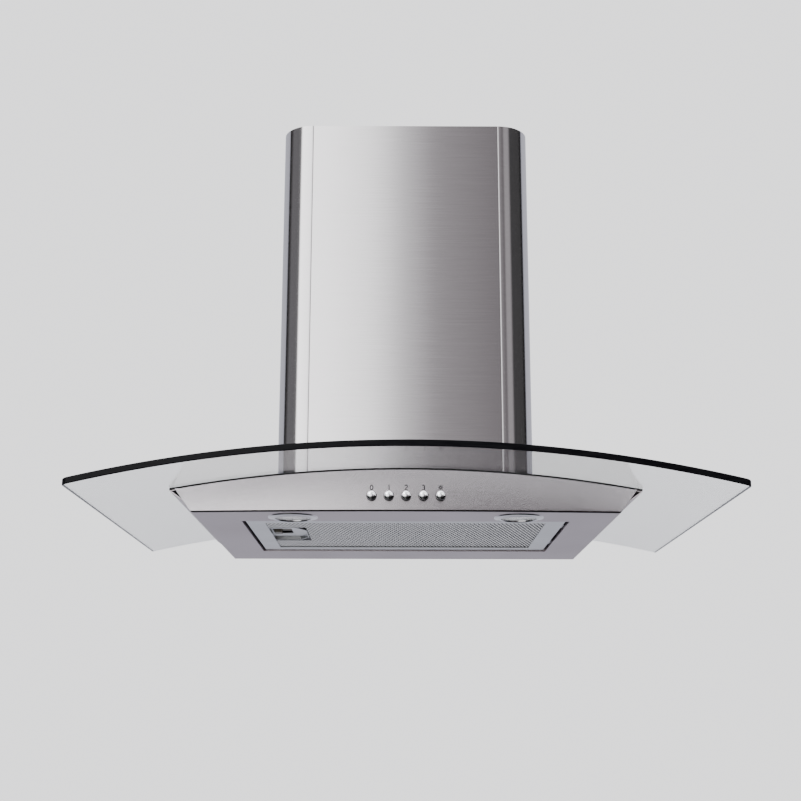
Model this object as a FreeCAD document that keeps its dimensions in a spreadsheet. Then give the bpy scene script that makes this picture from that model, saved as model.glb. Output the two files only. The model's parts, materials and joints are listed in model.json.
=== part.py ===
"""Wall-hung curved-glass chimney hood, 600 mm class, as a parametric FreeCAD document.

Frame: +Z up, +X to the right of someone facing the hood, +Y into the wall.
The origin is the middle of the line of hanging screws, on the wall plane.
Every piece is laid out with z = 0 at the hood's underside and is then lowered to underside_z.
"""
import FreeCAD, Part
import Sketcher

import math
import os
from types import SimpleNamespace

DIMENSIONS = (
    # The hood as a whole
    ("underside_z", -300.0),
    ("sheet", 0.8),
    ("fit_gap", 0.3),
    ("box_clearance", 3.0),
    # Curved glass canopy: an arc bent about Y, with its front edge bowed in plan
    ("glass_width", 600.0),
    ("glass_side_depth", 450.0),
    ("glass_front_bulge", 10.0),
    ("glass_thickness", 6.0),
    ("glass_sagitta", 33.0),
    ("glass_height", 41.0),
    ("glass_tip_radius", 6.0),
    ("gasket_thickness", 2.0),
    ("gasket_width", 10.0),
    ("gasket_edge", 0.5),
    # Shallow body under the glass
    ("underside_width", 402.0),
    ("shell_width", 446.0),
    ("knee_width", 418.0),
    ("knee_height", 11.0),
    ("shell_flare_height", 21.0),
    ("fascia_depth", 351.0),
    ("fascia_bulge", 10.0),
    ("fascia_top_width", 436.0),
    ("fascia_flare_height", 22.5),
    ("fascia_thickness", 1.0),
    ("fascia_lip", 10.0),
    ("fascia_lip_end", 3.0),
    ("underside_bulge", 8.6),
    ("flare_wall_run", 1.12),
    ("deck_inset", 1.2),
    ("air_opening_inset", 6.0),
    # Grease filter and its opening, measured back from the wall plane
    ("opening_width", 320.0),
    ("opening_front", 297.0),
    ("opening_back", 71.0),
    ("opening_flange", 11.0),
    ("filter_gap", 3.0),
    ("filter_base", 1.5),
    ("filter_height", 9.0),
    ("filter_border", 18.0),
    ("mesh_thickness", 0.8),
    ("media_layers", 3.0),
    ("media_thickness", 0.4),
    ("tab_width", 22.0),
    ("tab_reach", 5.0),
    ("tab_spread", 120.0),
    ("tab_height", 3.3),
    ("tab_drop", 0.9),
    ("tab_thickness", 1.0),
    ("tab_clearance", 1.0),
    ("mesh_edge_gap", 0.2),
    ("media_edge_gap", 1.5),
    ("media_latch_room", 12.0),
    # Filter latch
    ("latch_centre", 193.0),
    ("recess_length", 86.0),
    ("recess_width", 37.0),
    ("recess_floor", 5.4),
    ("recess_slant", 9.0),
    ("finger_slot_width", 20.0),
    ("finger_slot_length", 34.0),
    ("latch_height", 7.1),
    ("latch_width", 18.0),
    ("latch_reach", 8.0),
    ("latch_travel", 6.0),
    ("latch_thickness", 1.0),
    ("strike_below", 0.6),
    ("strike_above", 1.6),
    ("tongue_side_gap", 0.5),
    ("tongue_top_gap", 1.3),
    ("finger_slot_inset", 1.0),
    ("recess_edge_gap", 0.1),
    ("spring_post_width", 8.0),
    ("spring_post_thickness", 2.0),
    ("latch_heel", 3.0),
    ("latch_knob_start", 1.5),
    ("latch_knob_length", 7.5),
    ("latch_knob_inset", 2.0),
    ("latch_peg_length", 3.0),
    ("latch_spring_radius", 1.1),
    ("latch_spring_wire", 0.25),
    ("latch_spring_pitch", 1.4),
    ("latch_spring_slack", 3.8),
    ("latch_spring_start", 0.6),
    # Push buttons
    ("button_pitch", 16.1),
    ("button_radius", 4.6),
    ("button_height", 14.2),
    ("button_proud", 1.5),
    ("button_stem_radius", 2.5),
    ("button_stem_length", 20.0),
    ("switch_depth", 27.0),
    ("switch_height", 15.0),
    ("switch_from_front", 9.5),
    ("switch_side_margin", 2.0),
    ("switch_bore_end", 4.0),
    ("switch_foot", 12.0),
    ("switch_foot_thickness", 6.0),
    ("switch_bracket_inset", 4.0),
    ("button_shoulder", 1.2),
    ("button_shoulder_gap", 0.8),
    ("button_shoulder_depth", 1.0),
    # Lamps
    ("lamp_spread", 216.0),
    ("lamp_from_wall", 323.0),
    ("lamp_radius", 24.0),
    ("lamp_barrel_radius", 21.0),
    ("lamp_lens_radius", 16.7),
    ("lamp_proud", 2.2),
    ("lamp_cup_height", 22.0),
    ("lamp_hole_gap", 0.5),
    ("bezel_edge_height", 1.6),
    ("bezel_edge_width", 7.0),
    ("bezel_ledge", 1.6),
    ("bezel_barrel_height", 9.0),
    ("bezel_barrel_wall", 1.0),
    ("lens_middle_drop", 1.4),
    ("lens_edge_drop", 0.5),
    ("lens_rim", 3.0),
    ("lens_top", 3.2),
    ("cup_shoulder", 12.0),
    ("cup_neck_radius", 8.0),
    ("cup_wall", 1.0),
    ("bulb_radius", 4.5),
    ("bulb_bottom", 7.0),
    ("bulb_pin_radius", 2.0),
    ("bulb_pin_length", 2.9),
    ("transformer_length", 80.0),
    ("transformer_depth", 28.0),
    ("transformer_height", 18.0),
    ("transformer_margin", 10.0),
    # Chimney cover and its telescoping extension
    ("cover_width", 266.0),
    ("cover_depth", 250.0),
    ("cover_corner_radius", 33.0),
    ("cover_top", 440.0),
    ("cover_return", 15.0),
    ("cover_overlap", 5.0),
    ("cover_foot_gap", 0.5),
    ("extension_gap", 0.7),
    ("extension_back_gap", 1.2),
    ("extension_bottom", 62.0),
    ("extension_drop", 2.0),
    ("bracket_height", 25.0),
    ("bracket_thickness", 2.0),
    ("bracket_hole_spacing", 160.0),
    ("bracket_hole_radius", 3.0),
    ("bracket_ear", 24.0),
    # Blower box above the glass
    ("box_width", 216.0),
    ("box_depth", 218.0),
    ("box_top", 330.0),
    ("box_wall", 1.0),
    ("box_flange", 18.0),
    ("box_flange_corner", 14.0),
    ("seal_thickness", 1.5),
    ("hanger_inset", 8.0),
    ("hanger_spacing", 150.0),
    ("hanger_hole_radius", 4.1),
    ("hanger_height", 30.0),
    ("hanger_thickness", 2.0),
    ("hanger_access_radius", 9.0),
    ("lower_fixing_spacing", 300.0),
    ("lower_fixing_height", 20.0),
    ("lower_fixing_radius", 3.0),
    ("clamp_front", 195.0),
    ("clamp_back", 45.0),
    ("clamp_offset", 9.0),
    ("clamp_screw_radius", 2.5),
    ("clamp_hole_radius", 2.8),
    ("glass_hole_radius", 4.0),
    ("clamp_head_radius", 4.75),
    ("clamp_head_height", 2.6),
    ("clamp_head_lift", 1.0),
    ("clamp_nut_radius", 4.5),
    ("clamp_nut_height", 4.0),
    ("clamp_nut_gap", 0.05),
    ("clamp_nut_drop", 0.8),
    ("clamp_tail", 6.0),
    ("bush_radius", 3.75),
    ("bush_gap", 0.1),
    ("bush_inset", 0.6),
    ("bush_shortfall", 1.0),
    # Double-inlet centrifugal blower
    ("blower_from_wall", 128.0),
    ("blower_height", 170.0),
    ("volute_radius", 80.0),
    ("volute_step", 8.0),
    ("volute_half_width", 62.0),
    ("volute_wall", 1.5),
    ("inlet_radius", 52.0),
    ("inlet_lip", 6.5),
    ("inlet_ring_wall", 1.2),
    ("inlet_ring_reach", 7.5),
    ("impeller_radius", 68.0),
    ("impeller_half_width", 56.0),
    ("blade_depth", 12.0),
    ("blade_thickness", 1.2),
    ("blade_sweep", 4.2),
    ("blade_count", 30.0),
    ("impeller_plate", 2.0),
    ("motor_radius", 38.0),
    ("motor_length", 56.0),
    ("motor_corner", 4.0),
    ("motor_boss_wall", 6.0),
    ("motor_boss_height", 2.0),
    ("motor_bore_gap", 0.1),
    ("motor_mount_gap", 1.0),
    ("motor_plate", 1.5),
    ("motor_ring_width", 2.0),
    ("motor_hub_radius", 26.6),
    ("motor_arm_width", 10.0),
    ("motor_screw_circle", 19.0),
    ("motor_screw_radius", 3.4),
    ("motor_screw_head", 2.4),
    ("shaft_tail", 2.0),
    ("shaft_radius", 4.0),
    ("hub_radius", 12.0),
    ("hub_length", 14.0),
    ("press_gap", 0.02),
    # Outlet collar with two non-return flaps
    ("collar_radius", 60.0),
    ("collar_wall", 2.0),
    ("collar_height", 42.0),
    ("collar_flange_radius", 70.0),
    ("collar_ledge_height", 6.0),
    ("collar_ledge_width", 4.0),
    ("collar_ledge_edge", 1.5),
    ("collar_ledge_root", 3.5),
    ("collar_flange", 2.0),
    ("collar_hole_inset", 4.5),
    ("collar_hole_radius", 1.8),
    ("collar_screw_radius", 1.7),
    ("collar_screw_length", 2.5),
    ("collar_screw_head_radius", 3.2),
    ("collar_screw_head_height", 2.0),
    ("flap_thickness", 1.5),
    ("flap_rod_radius", 1.5),
    ("flap_running_gap", 0.08),
    ("knuckle_radius", 3.0),
    ("knuckle_side_gap", 0.4),
    ("knuckle_end_gap", 0.3),
    ("flap_edge_gap", 1.2),
    ("flap_middle_gap", 1.8),
    ("flap_knuckle_margin", 3.0),
    ("flap_notch_end_gap", 0.6),
    # Connection box on the blower box
    ("terminal_length", 82.0),
    ("terminal_depth", 46.0),
    ("terminal_height", 28.0),
    ("terminal_wall", 2.0),
    ("terminal_from_side", 12.0),
    ("terminal_from_front", 8.0),
    ("lid_screw_radius", 2.6),
    ("lid_screw_height", 1.8),
    ("lid_screw_inset", 7.0),
    ("gland_bore_radius", 4.0),
    ("gland_length", 24.0),
    ("gland_wall", 2.5),
    ("gland_inset", 3.0),
    ("gland_nut_height", 5.0),
    ("gland_nut_wall", 4.0),
    ("gland_nose", 4.0),
    ("capacitor_margin", 6.0),
    ("capacitor_radius", 13.0),
    ("capacitor_length", 48.0),
    ("capacitor_from_wall", 40.0),
)


class Size:
    """A length that carries both its number and the spreadsheet expression that gives it."""

    def __init__(self, number, text):
        self.number = number
        self.text = text

    def _join(self, other, sign, number):
        return Size(number, f"({self.text} {sign} {as_size(other).text})")

    def __add__(self, other):
        return self._join(other, "+", self.number + as_size(other).number)

    def __sub__(self, other):
        return self._join(other, "-", self.number - as_size(other).number)

    def __mul__(self, other):
        return self._join(other, "*", self.number * as_size(other).number)

    def __truediv__(self, other):
        return self._join(other, "/", self.number / as_size(other).number)

    def __radd__(self, other):
        return as_size(other) + self

    def __rsub__(self, other):
        return as_size(other) - self

    def __rmul__(self, other):
        return as_size(other) * self

    def __neg__(self):
        return Size(-self.number, f"(0 - {self.text})")


def as_size(value):
    if isinstance(value, Size):
        return value
    text = repr(float(value))
    return Size(float(value), f"({text})" if value < 0 else text)


def root(value):
    return Size(math.sqrt(value.number), f"sqrt({value.text})")


def arc_radius(chord, rise):
    """Radius of the arc that spans a chord with the given rise."""
    return (chord * chord / 4 + rise * rise) / (2 * rise)


doc = FreeCAD.newDocument("CurvedGlassHood")
table = doc.addObject("Spreadsheet::Sheet", "Dims")
for row, (alias, number) in enumerate(DIMENSIONS, start=1):
    table.set(f"A{row}", alias)
    table.set(f"B{row}", str(number))
    table.setAlias(f"B{row}", alias)
doc.recompute()
d = SimpleNamespace(**{alias: Size(number, f"Dims.{alias}") for alias, number in DIMENSIONS})

SUBPARTS = []
BUTTON_NAMES = ("button_off", "button_speed_1", "button_speed_2", "button_speed_3", "button_light")
BUTTON_PLACES = range(-2, 3)
COLLAR_SCREW_ANGLES = (45, 135, 225, 315)
MOTOR_ARM_ANGLES = (0, 120, 240)
MOTOR_SCREW_ANGLES = (60, 180, 300)
# How far cutting solids reach past what they cut, and the lift of the tallest of them.
PAST = 1
FAR_PAST = 10
HEADROOM = 20
local_heights = {}
AXIS_TURN = {
    "z": FreeCAD.Rotation(),
    "x": FreeCAD.Rotation(FreeCAD.Vector(0, 1, 0), 90),
    "y": FreeCAD.Rotation(FreeCAD.Vector(1, 0, 0), -90),
}
SIDES = (("left", -1), ("right", 1))


# ---- building blocks ---------------------------------------------------------------------

def bind(item, path, value):
    item.setExpression(path, as_size(value).text)


def place(item, x, y, z, axis="z"):
    """Put an item at (x, y, z) with its own Z along the given axis."""
    item.Placement = FreeCAD.Placement(FreeCAD.Vector(), AXIS_TURN[axis])
    for name, value in zip("xyz", (x, y, z)):
        bind(item, f"Placement.Base.{name}", value)
    local_heights[item.Name] = as_size(z)
    return item


def block(name, x, y, z):
    """A box between the low and high limits of each axis."""
    item = doc.addObject("Part::Box", name)
    for path, (low, high) in zip(("Length", "Width", "Height"), (x, y, z)):
        bind(item, path, as_size(high) - low)
    return place(item, x[0], y[0], z[0])


def rod(name, radius, start, length, axis="z"):
    item = doc.addObject("Part::Cylinder", name)
    bind(item, "Radius", radius)
    bind(item, "Height", length)
    return place(item, *start, axis)


def join(name, *items):
    item = doc.addObject("Part::MultiFuse", name)
    item.Shapes = list(items)
    item.Refine = True
    return item


def cut(name, base, *tools):
    item = doc.addObject("Part::Cut", name)
    item.Base = base
    item.Tool = tools[0] if len(tools) == 1 else join(f"{name}_tools", *tools)
    return item


def common(name, *items):
    item = doc.addObject("Part::MultiCommon", name)
    item.Shapes = list(items)
    return item


def draw_outline(sketch, corners):
    """Close a loop through the corners; a corner's third value is the radius of the arc that
    reaches it, positive where the arc turns left."""
    ends = []
    for index, corner in enumerate(corners):
        before = corners[index - 1]
        start = FreeCAD.Vector(as_size(before[0]).number, as_size(before[1]).number, 0)
        end = FreeCAD.Vector(as_size(corner[0]).number, as_size(corner[1]).number, 0)
        if len(corner) == 2:
            sketch.addGeometry(Part.LineSegment(start, end), False)
            ends.append((1, 2))
            continue
        radius = as_size(corner[2])
        chord = end - start
        across = math.sqrt(max(radius.number ** 2 - chord.Length ** 2 / 4, 0.0))
        left = FreeCAD.Vector(-chord.y, chord.x, 0).normalize()
        turn = 1 if radius.number > 0 else -1
        centre = (start + end) / 2 + left * across * turn
        first, last = (start, end) if turn > 0 else (end, start)
        angles = [math.atan2(p.y - centre.y, p.x - centre.x) for p in (first, last)]
        circle = Part.Circle(centre, FreeCAD.Vector(0, 0, 1), abs(radius.number))
        sketch.addGeometry(Part.ArcOfCircle(circle, *angles), False)
        ends.append((1, 2) if turn > 0 else (2, 1))
        rule = sketch.addConstraint(Sketcher.Constraint("Radius", index, abs(radius.number)))
        bind(sketch, f"Constraints[{rule}]", radius if turn > 0 else -radius)
    for index, corner in enumerate(corners):
        following = (index + 1) % len(corners)
        sketch.addConstraint(
            Sketcher.Constraint("Coincident", index, ends[index][1], following, ends[following][0])
        )
        for kind, value in zip(("DistanceX", "DistanceY"), corner):
            value = as_size(value)
            rule = sketch.addConstraint(
                Sketcher.Constraint(kind, -1, 1, index, ends[index][1], value.number)
            )
            bind(sketch, f"Constraints[{rule}]", value)


def sketch_in(body, name, role):
    plane = next(item for item in body.Origin.OriginFeatures if item.Role == role)
    sketch = body.newObject("Sketcher::SketchObject", name)
    sketch.AttachmentSupport = (plane, [""])
    sketch.MapMode = "FlatFace"
    return sketch


def padded(name, role, corners, length, start=(0, 0, 0)):
    """A body: an outline on one of its origin planes, padded along that plane's normal."""
    body = doc.addObject("PartDesign::Body", name)
    sketch = sketch_in(body, f"{name}_outline", role)
    draw_outline(sketch, corners)
    pad = body.newObject("PartDesign::Pad", f"{name}_pad")
    pad.Profile = sketch
    bind(pad, "Length", length)
    body.Tip = pad
    return place(body, *start)


def turned(name, corners, centre=(0, 0, 0), axis="z"):
    """A body: an outline of radius and height, turned about its own Z."""
    body = doc.addObject("PartDesign::Body", name)
    sketch = sketch_in(body, f"{name}_profile", "XZ_Plane")
    draw_outline(sketch, corners)
    turn = body.newObject("PartDesign::Revolution", f"{name}_turn")
    turn.Profile = sketch
    turn.ReferenceAxis = (sketch, ["V_Axis"])
    turn.Angle = 360
    body.Tip = turn
    return place(body, *centre, axis)


def finish(item, label):
    """Give a sub-part its name and lower it to the hood's real height."""
    item.Label = label
    bind(item, "Placement.Base.z", local_heights.get(item.Name, as_size(0)) + d.underside_z)
    SUBPARTS.append(item)


# ---- shared places -----------------------------------------------------------------------

bend_radius = arc_radius(d.glass_width, d.glass_sagitta)
bend_centre = d.glass_height - bend_radius
front_radius = arc_radius(d.fascia_top_width, d.fascia_bulge)
half_shell = d.shell_width / 2
half_underside = d.underside_width / 2
half_knee = d.knee_width / 2
half_fascia = d.fascia_top_width / 2
tall = d.glass_height + HEADROOM
box_front = d.hanger_thickness + d.box_depth
half_box = d.box_width / 2
flange_bottom = d.glass_thickness + d.seal_thickness
clamp_x = half_box + d.clamp_offset
outlet_left = -d.blower_from_wall - d.volute_step / 2
outlet_right = -d.blower_from_wall + d.volute_radius + d.volute_step * 2.5
outlet_centre = (outlet_left + outlet_right) / 2
hinge_height = d.box_top + d.collar_ledge_height + d.knuckle_radius
filter_half = d.opening_width / 2 - d.filter_gap
filter_front = d.opening_front - d.filter_gap
filter_back = d.opening_back + d.filter_gap
filter_top = d.filter_base + d.filter_height
filter_middle = (d.opening_front + d.opening_back) / 2
button_front = d.fascia_depth + d.fascia_bulge


def bend_cylinder(name, offset):
    """A long cylinder concentric with the glass bend, offset from the glass underside."""
    reach = d.glass_side_depth + d.glass_front_bulge + HEADROOM
    return rod(name, bend_radius + offset, (0, -reach, bend_centre), reach + HEADROOM, "y")


def curved_layer(name, low, high, plan):
    """The part of a plan prism that lies between two offsets from the glass underside."""
    ring = cut(f"{name}_ring", bend_cylinder(f"{name}_outer", high), bend_cylinder(f"{name}_inner", low))
    return common(f"{name}_layer", ring, plan)


def body_plan(inset, back):
    """Plan outline of the shallow body, inset from its widest edges."""
    side = half_shell - inset
    corner = half_fascia - inset
    front = -d.fascia_depth + inset
    return (
        (-side, -back), (-side, front), (-corner, front), (corner, front, front_radius),
        (side, front), (side, -back),
    )


def clamp_spots():
    for side_name, side in SIDES:
        for end_name, from_wall in (("front", d.clamp_front), ("back", d.clamp_back)):
            yield f"{side_name}_{end_name}", clamp_x * side, -from_wall


def clamp_height(offset):
    """Height of a layer, offset from the glass underside, above the clamp screws' line."""
    radius = bend_radius + offset
    return bend_centre + root(radius * radius - clamp_x * clamp_x)


# ---- glass and body ----------------------------------------------------------------------

def make_glass():
    half = d.glass_width / 2
    side = d.glass_side_depth
    tip = d.glass_tip_radius
    plan = padded(
        "glass_plan", "XY_Plane",
        (
            (half, 0), (-half, 0), (-half, -side + tip), (tip - half, -side, tip),
            (half - tip, -side, arc_radius(d.glass_width - 2 * tip, d.glass_front_bulge)),
            (half, -side + tip, tip),
        ),
        tall,
    )
    sheet = curved_layer("glass", 0, d.glass_thickness, plan)
    notch = half_box + d.box_clearance
    tools = [block("glass_notch", (-notch, notch), (-box_front - d.box_clearance, FAR_PAST), (0, tall))]
    for spot, x, y in clamp_spots():
        tools.append(rod(f"glass_hole_{spot}", d.glass_hole_radius, (x, y, 0), tall))
    finish(cut("glass", sheet, *tools), "glass_canopy")


def make_gasket():
    ring = cut(
        "gasket_plan",
        padded("gasket_rim", "XY_Plane", body_plan(d.gasket_edge, d.gasket_edge), tall),
        padded("gasket_middle", "XY_Plane", body_plan(d.gasket_width, d.gasket_width), tall),
    )
    inset = d.air_opening_inset
    collar = cut(
        "gasket_collar",
        flange_rim("gasket_collar_rim", -1),
        block("gasket_collar_middle", (inset - half_box, half_box - inset),
              (inset - box_front, -inset - d.hanger_thickness), (0, tall)),
    )
    strip = curved_layer("gasket", -d.gasket_thickness, 0, join("gasket_both", ring, collar))
    holes = [rod(f"gasket_hole_{spot}", d.clamp_hole_radius, (x, y, 0), tall)
             for spot, x, y in clamp_spots()]
    finish(cut("gasket", strip, *holes), "glass_gasket")


def flared_section(name, bottom, inset):
    """Cross-section of the body between its flared side walls."""
    low = half_underside - inset
    knee = half_knee - inset
    top = half_shell - inset
    return padded(
        name, "XZ_Plane",
        (
            (-low, bottom), (low, bottom), (knee, d.knee_height), (top, d.shell_flare_height),
            (top, tall), (-top, tall), (-top, d.shell_flare_height), (-knee, d.knee_height),
        ),
        d.fascia_depth - d.deck_inset,
    )


def make_shell():
    under_gasket = -d.gasket_thickness
    outer = common("shell_solid", flared_section("shell_outside", d.sheet, 0),
                   bend_cylinder("shell_top", under_gasket))
    inner = flared_section("shell_inside", d.sheet - PAST, d.flare_wall_run)
    place(inner, 0, -d.sheet, 0)
    walls = cut("shell_walls", outer, inner)
    deck = curved_layer("deck", under_gasket - d.sheet, under_gasket,
                        padded("deck_plan", "XY_Plane", body_plan(d.deck_inset, 0), tall))
    inset = d.air_opening_inset
    tools = [block("air_opening", (inset - half_box, half_box - inset),
                   (inset - box_front, -inset - d.hanger_thickness), (d.sheet, tall))]
    for spot, x, y in clamp_spots():
        tools.append(rod(f"deck_hole_{spot}", d.clamp_hole_radius, (x, y, 0), tall))
    for side_name, side in SIDES:
        x = d.lower_fixing_spacing / 2 * side
        tools.append(rod(f"lower_fixing_{side_name}", d.lower_fixing_radius,
                         (x, -FAR_PAST / 2, d.lower_fixing_height), FAR_PAST, "y"))
    finish(cut("shell", join("shell_joined", walls, deck), *tools), "body_shell")


def make_underside():
    front = -d.fascia_depth + d.fascia_thickness + d.sheet
    plate = padded(
        "underside_plate", "XY_Plane",
        ((half_underside, 0), (-half_underside, 0), (-half_underside, front),
         (half_underside, front, arc_radius(d.underside_width, d.underside_bulge))),
        d.sheet,
    )
    half = d.opening_width / 2
    rim = d.sheet
    collar = block("flange_outside", (-half - rim, half + rim),
                   (-d.opening_front - rim, rim - d.opening_back), (0, d.opening_flange))
    tools = [block("opening", (-half, half), (-d.opening_front, -d.opening_back),
                   (-PAST, d.opening_flange + PAST))]
    tab_room = d.tab_width / 2 + d.tab_clearance
    for name, side in (("front", -1), ("back", 1)):
        middle = -filter_middle + d.tab_spread / 2 * side
        tools.append(block(f"tab_notch_{name}", (half - PAST, half + rim + PAST),
                           (middle - tab_room, middle + tab_room),
                           (d.tab_height - d.tab_drop, d.opening_flange + PAST)))
    latch_room = d.latch_width / 2 + d.tab_clearance
    tools.append(block("strike_slot", (-half - rim - PAST, PAST - half),
                       (-d.latch_centre - latch_room, -d.latch_centre + latch_room),
                       (d.latch_height - d.strike_below, d.latch_height + d.strike_above)))
    for name, side in SIDES:
        tools.append(rod(f"lamp_hole_{name}", d.lamp_barrel_radius + d.lamp_hole_gap,
                         (d.lamp_spread / 2 * side, -d.lamp_from_wall, -PAST), FAR_PAST / 2))
    finish(cut("underside", join("underside_joined", plate, collar), *tools), "underside_panel")


def arc_band(name, front, depth, height, start):
    """A strip that follows the fascia's bow in plan, of constant depth."""
    return padded(
        name, "XY_Plane",
        (
            (-half_fascia, -front), (half_fascia, -front, front_radius),
            (half_fascia, depth - front), (-half_fascia, depth - front, -front_radius),
        ),
        height, (0, 0, start),
    )


def make_fascia():
    ends = padded(
        "fascia_ends", "XZ_Plane",
        (
            (-half_underside, 0), (half_underside, 0), (half_fascia, d.fascia_flare_height),
            (half_fascia, tall), (-half_fascia, tall), (-half_fascia, d.fascia_flare_height),
        ),
        d.fascia_depth + HEADROOM,
    )
    face = common("fascia_face", arc_band("fascia_band", d.fascia_depth, d.fascia_thickness, tall, 0),
                  ends, bend_cylinder("fascia_top", -d.gasket_thickness))
    lip = common(
        "fascia_lip",
        arc_band("lip_band", d.fascia_depth - d.fascia_thickness / 2, d.fascia_lip, d.sheet, d.sheet),
        block("lip_ends", (d.fascia_lip_end - half_underside, half_underside - d.fascia_lip_end),
              (-d.fascia_depth - HEADROOM, 0), (0, tall)),
    )
    holes = [rod(f"button_hole_{index}", d.button_radius + d.fit_gap,
                 (d.button_pitch * index, -button_front - FAR_PAST, d.button_height), FAR_PAST * 2, "y")
             for index in BUTTON_PLACES]
    finish(cut("fascia", join("fascia_joined", face, lip), *holes), "front_fascia")


# ---- push buttons ------------------------------------------------------------------------

def make_buttons():
    radius = d.button_radius
    stem = d.button_stem_radius
    shoulder = radius + d.button_shoulder
    flange_at = d.button_proud + d.fascia_thickness + d.button_shoulder_gap
    tail = flange_at + d.button_shoulder_depth
    outline = (
        (0, -radius), (radius, 0, radius), (radius, flange_at), (shoulder, flange_at),
        (shoulder, tail), (stem, tail), (stem, tail + d.button_stem_length),
        (0, tail + d.button_stem_length),
    )
    for index, name in zip(BUTTON_PLACES, BUTTON_NAMES):
        centre = (d.button_pitch * index, -button_front - d.button_proud, d.button_height)
        finish(turned(name, outline, centre, "y"), name)


def sorted_span(first, second):
    return tuple(sorted((as_size(first), as_size(second)), key=lambda edge: edge.number))


def make_switches():
    front = d.switch_from_front - button_front
    back = front + d.switch_depth
    half = d.button_pitch * len(BUTTON_NAMES) / 2 + d.switch_side_margin
    low = d.button_height - d.switch_height / 2
    case = block("switch_case", (-half, half), (front, back), (low, low + d.switch_height))
    bores = [rod(f"switch_bore_{index}", d.button_stem_radius + d.fit_gap,
                 (d.button_pitch * index, front - PAST, d.button_height),
                 d.switch_depth - d.switch_bore_end, "y")
             for index in BUTTON_PLACES]
    finish(cut("switches", case, *bores), "switch_block")
    outer = half + d.switch_foot
    run = (front + d.switch_bracket_inset, back - d.switch_bracket_inset)
    shelf = block("bracket_shelf", (-outer, outer), run, (low - d.sheet, low))
    feet = [block(f"bracket_foot_{name}",
                  sorted_span(side * outer, side * (outer - d.switch_foot_thickness)),
                  run, (d.sheet, low))
            for name, side in SIDES]
    finish(join("switch_bracket_solid", shelf, *feet), "switch_bracket")


# ---- lamps -------------------------------------------------------------------------------

def make_lamps():
    edge = d.lamp_radius
    lens = d.lamp_lens_radius
    barrel = d.lamp_barrel_radius
    ledge = d.bezel_ledge
    seat = lens + d.lens_rim
    bezel = (
        (lens + d.fit_gap, ledge), (lens + d.fit_gap, -d.lamp_proud / 2),
        (edge, 0, arc_radius(d.bezel_edge_width, d.bezel_edge_height)),
        (barrel, 0), (barrel, d.bezel_barrel_height), (barrel - d.bezel_barrel_wall, d.bezel_barrel_height),
        (barrel - d.bezel_barrel_wall, ledge),
    )
    lens_seat = ledge + d.recess_edge_gap
    glass = (
        (0, -d.lens_middle_drop),
        (lens, -d.lens_edge_drop, arc_radius(lens * 2, d.lens_middle_drop - d.lens_edge_drop)),
        (lens, lens_seat), (seat, lens_seat), (seat, d.lens_top), (0, d.lens_top),
    )
    top = d.lamp_cup_height
    wall = d.cup_wall
    rim = d.lens_top + d.recess_edge_gap
    cup = (
        (seat - wall, rim), (seat, rim), (seat, d.cup_shoulder), (d.cup_neck_radius, top), (0, top),
        (0, top - wall), (d.cup_neck_radius - wall / 2, top - wall),
        (seat - wall, d.cup_shoulder - wall / 2),
    )
    bulb_end = top - wall - d.recess_edge_gap
    bulb = (
        (0, d.bulb_bottom), (d.bulb_radius, d.bulb_bottom + d.bulb_radius, d.bulb_radius),
        (d.bulb_radius, bulb_end - d.bulb_pin_length), (d.bulb_pin_radius, bulb_end), (0, bulb_end),
    )
    pieces = (("lamp_bezel", bezel), ("lamp_lens", glass), ("lamp_cup", cup), ("lamp_bulb", bulb))
    for side_name, side in SIDES:
        centre = (d.lamp_spread / 2 * side, -d.lamp_from_wall, 0)
        for kind, outline in pieces:
            name = f"{kind}_{side_name}"
            finish(turned(name, outline, centre), name)
    left = d.transformer_margin - half_underside
    front = d.sheet + d.transformer_margin - d.opening_back
    finish(block("transformer", (left, left + d.transformer_length),
                 (front, front + d.transformer_depth),
                 (d.sheet, d.sheet + d.transformer_height)), "lamp_transformer")


# ---- grease filter -----------------------------------------------------------------------

def filter_box(name, inset, low, high):
    return block(name, (inset - filter_half, filter_half - inset),
                 (inset - filter_front, -filter_back - inset), (low, high))


def latch_pocket(name, inset, low, high):
    """The recess beside the filter's left border, with its two inner corners cut off."""
    left = d.filter_border - filter_half - PAST + inset
    right = d.filter_border - filter_half + d.recess_width - inset
    half = d.recess_length / 2 - inset
    middle = -d.latch_centre
    return padded(
        name, "XY_Plane",
        (
            (left, middle - half), (right - d.recess_slant, middle - half),
            (right, middle - half + d.recess_slant * 2), (right, middle + half - d.recess_slant * 2),
            (right - d.recess_slant, middle + half), (left, middle + half),
        ),
        high - low, (0, 0, low),
    )


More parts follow.
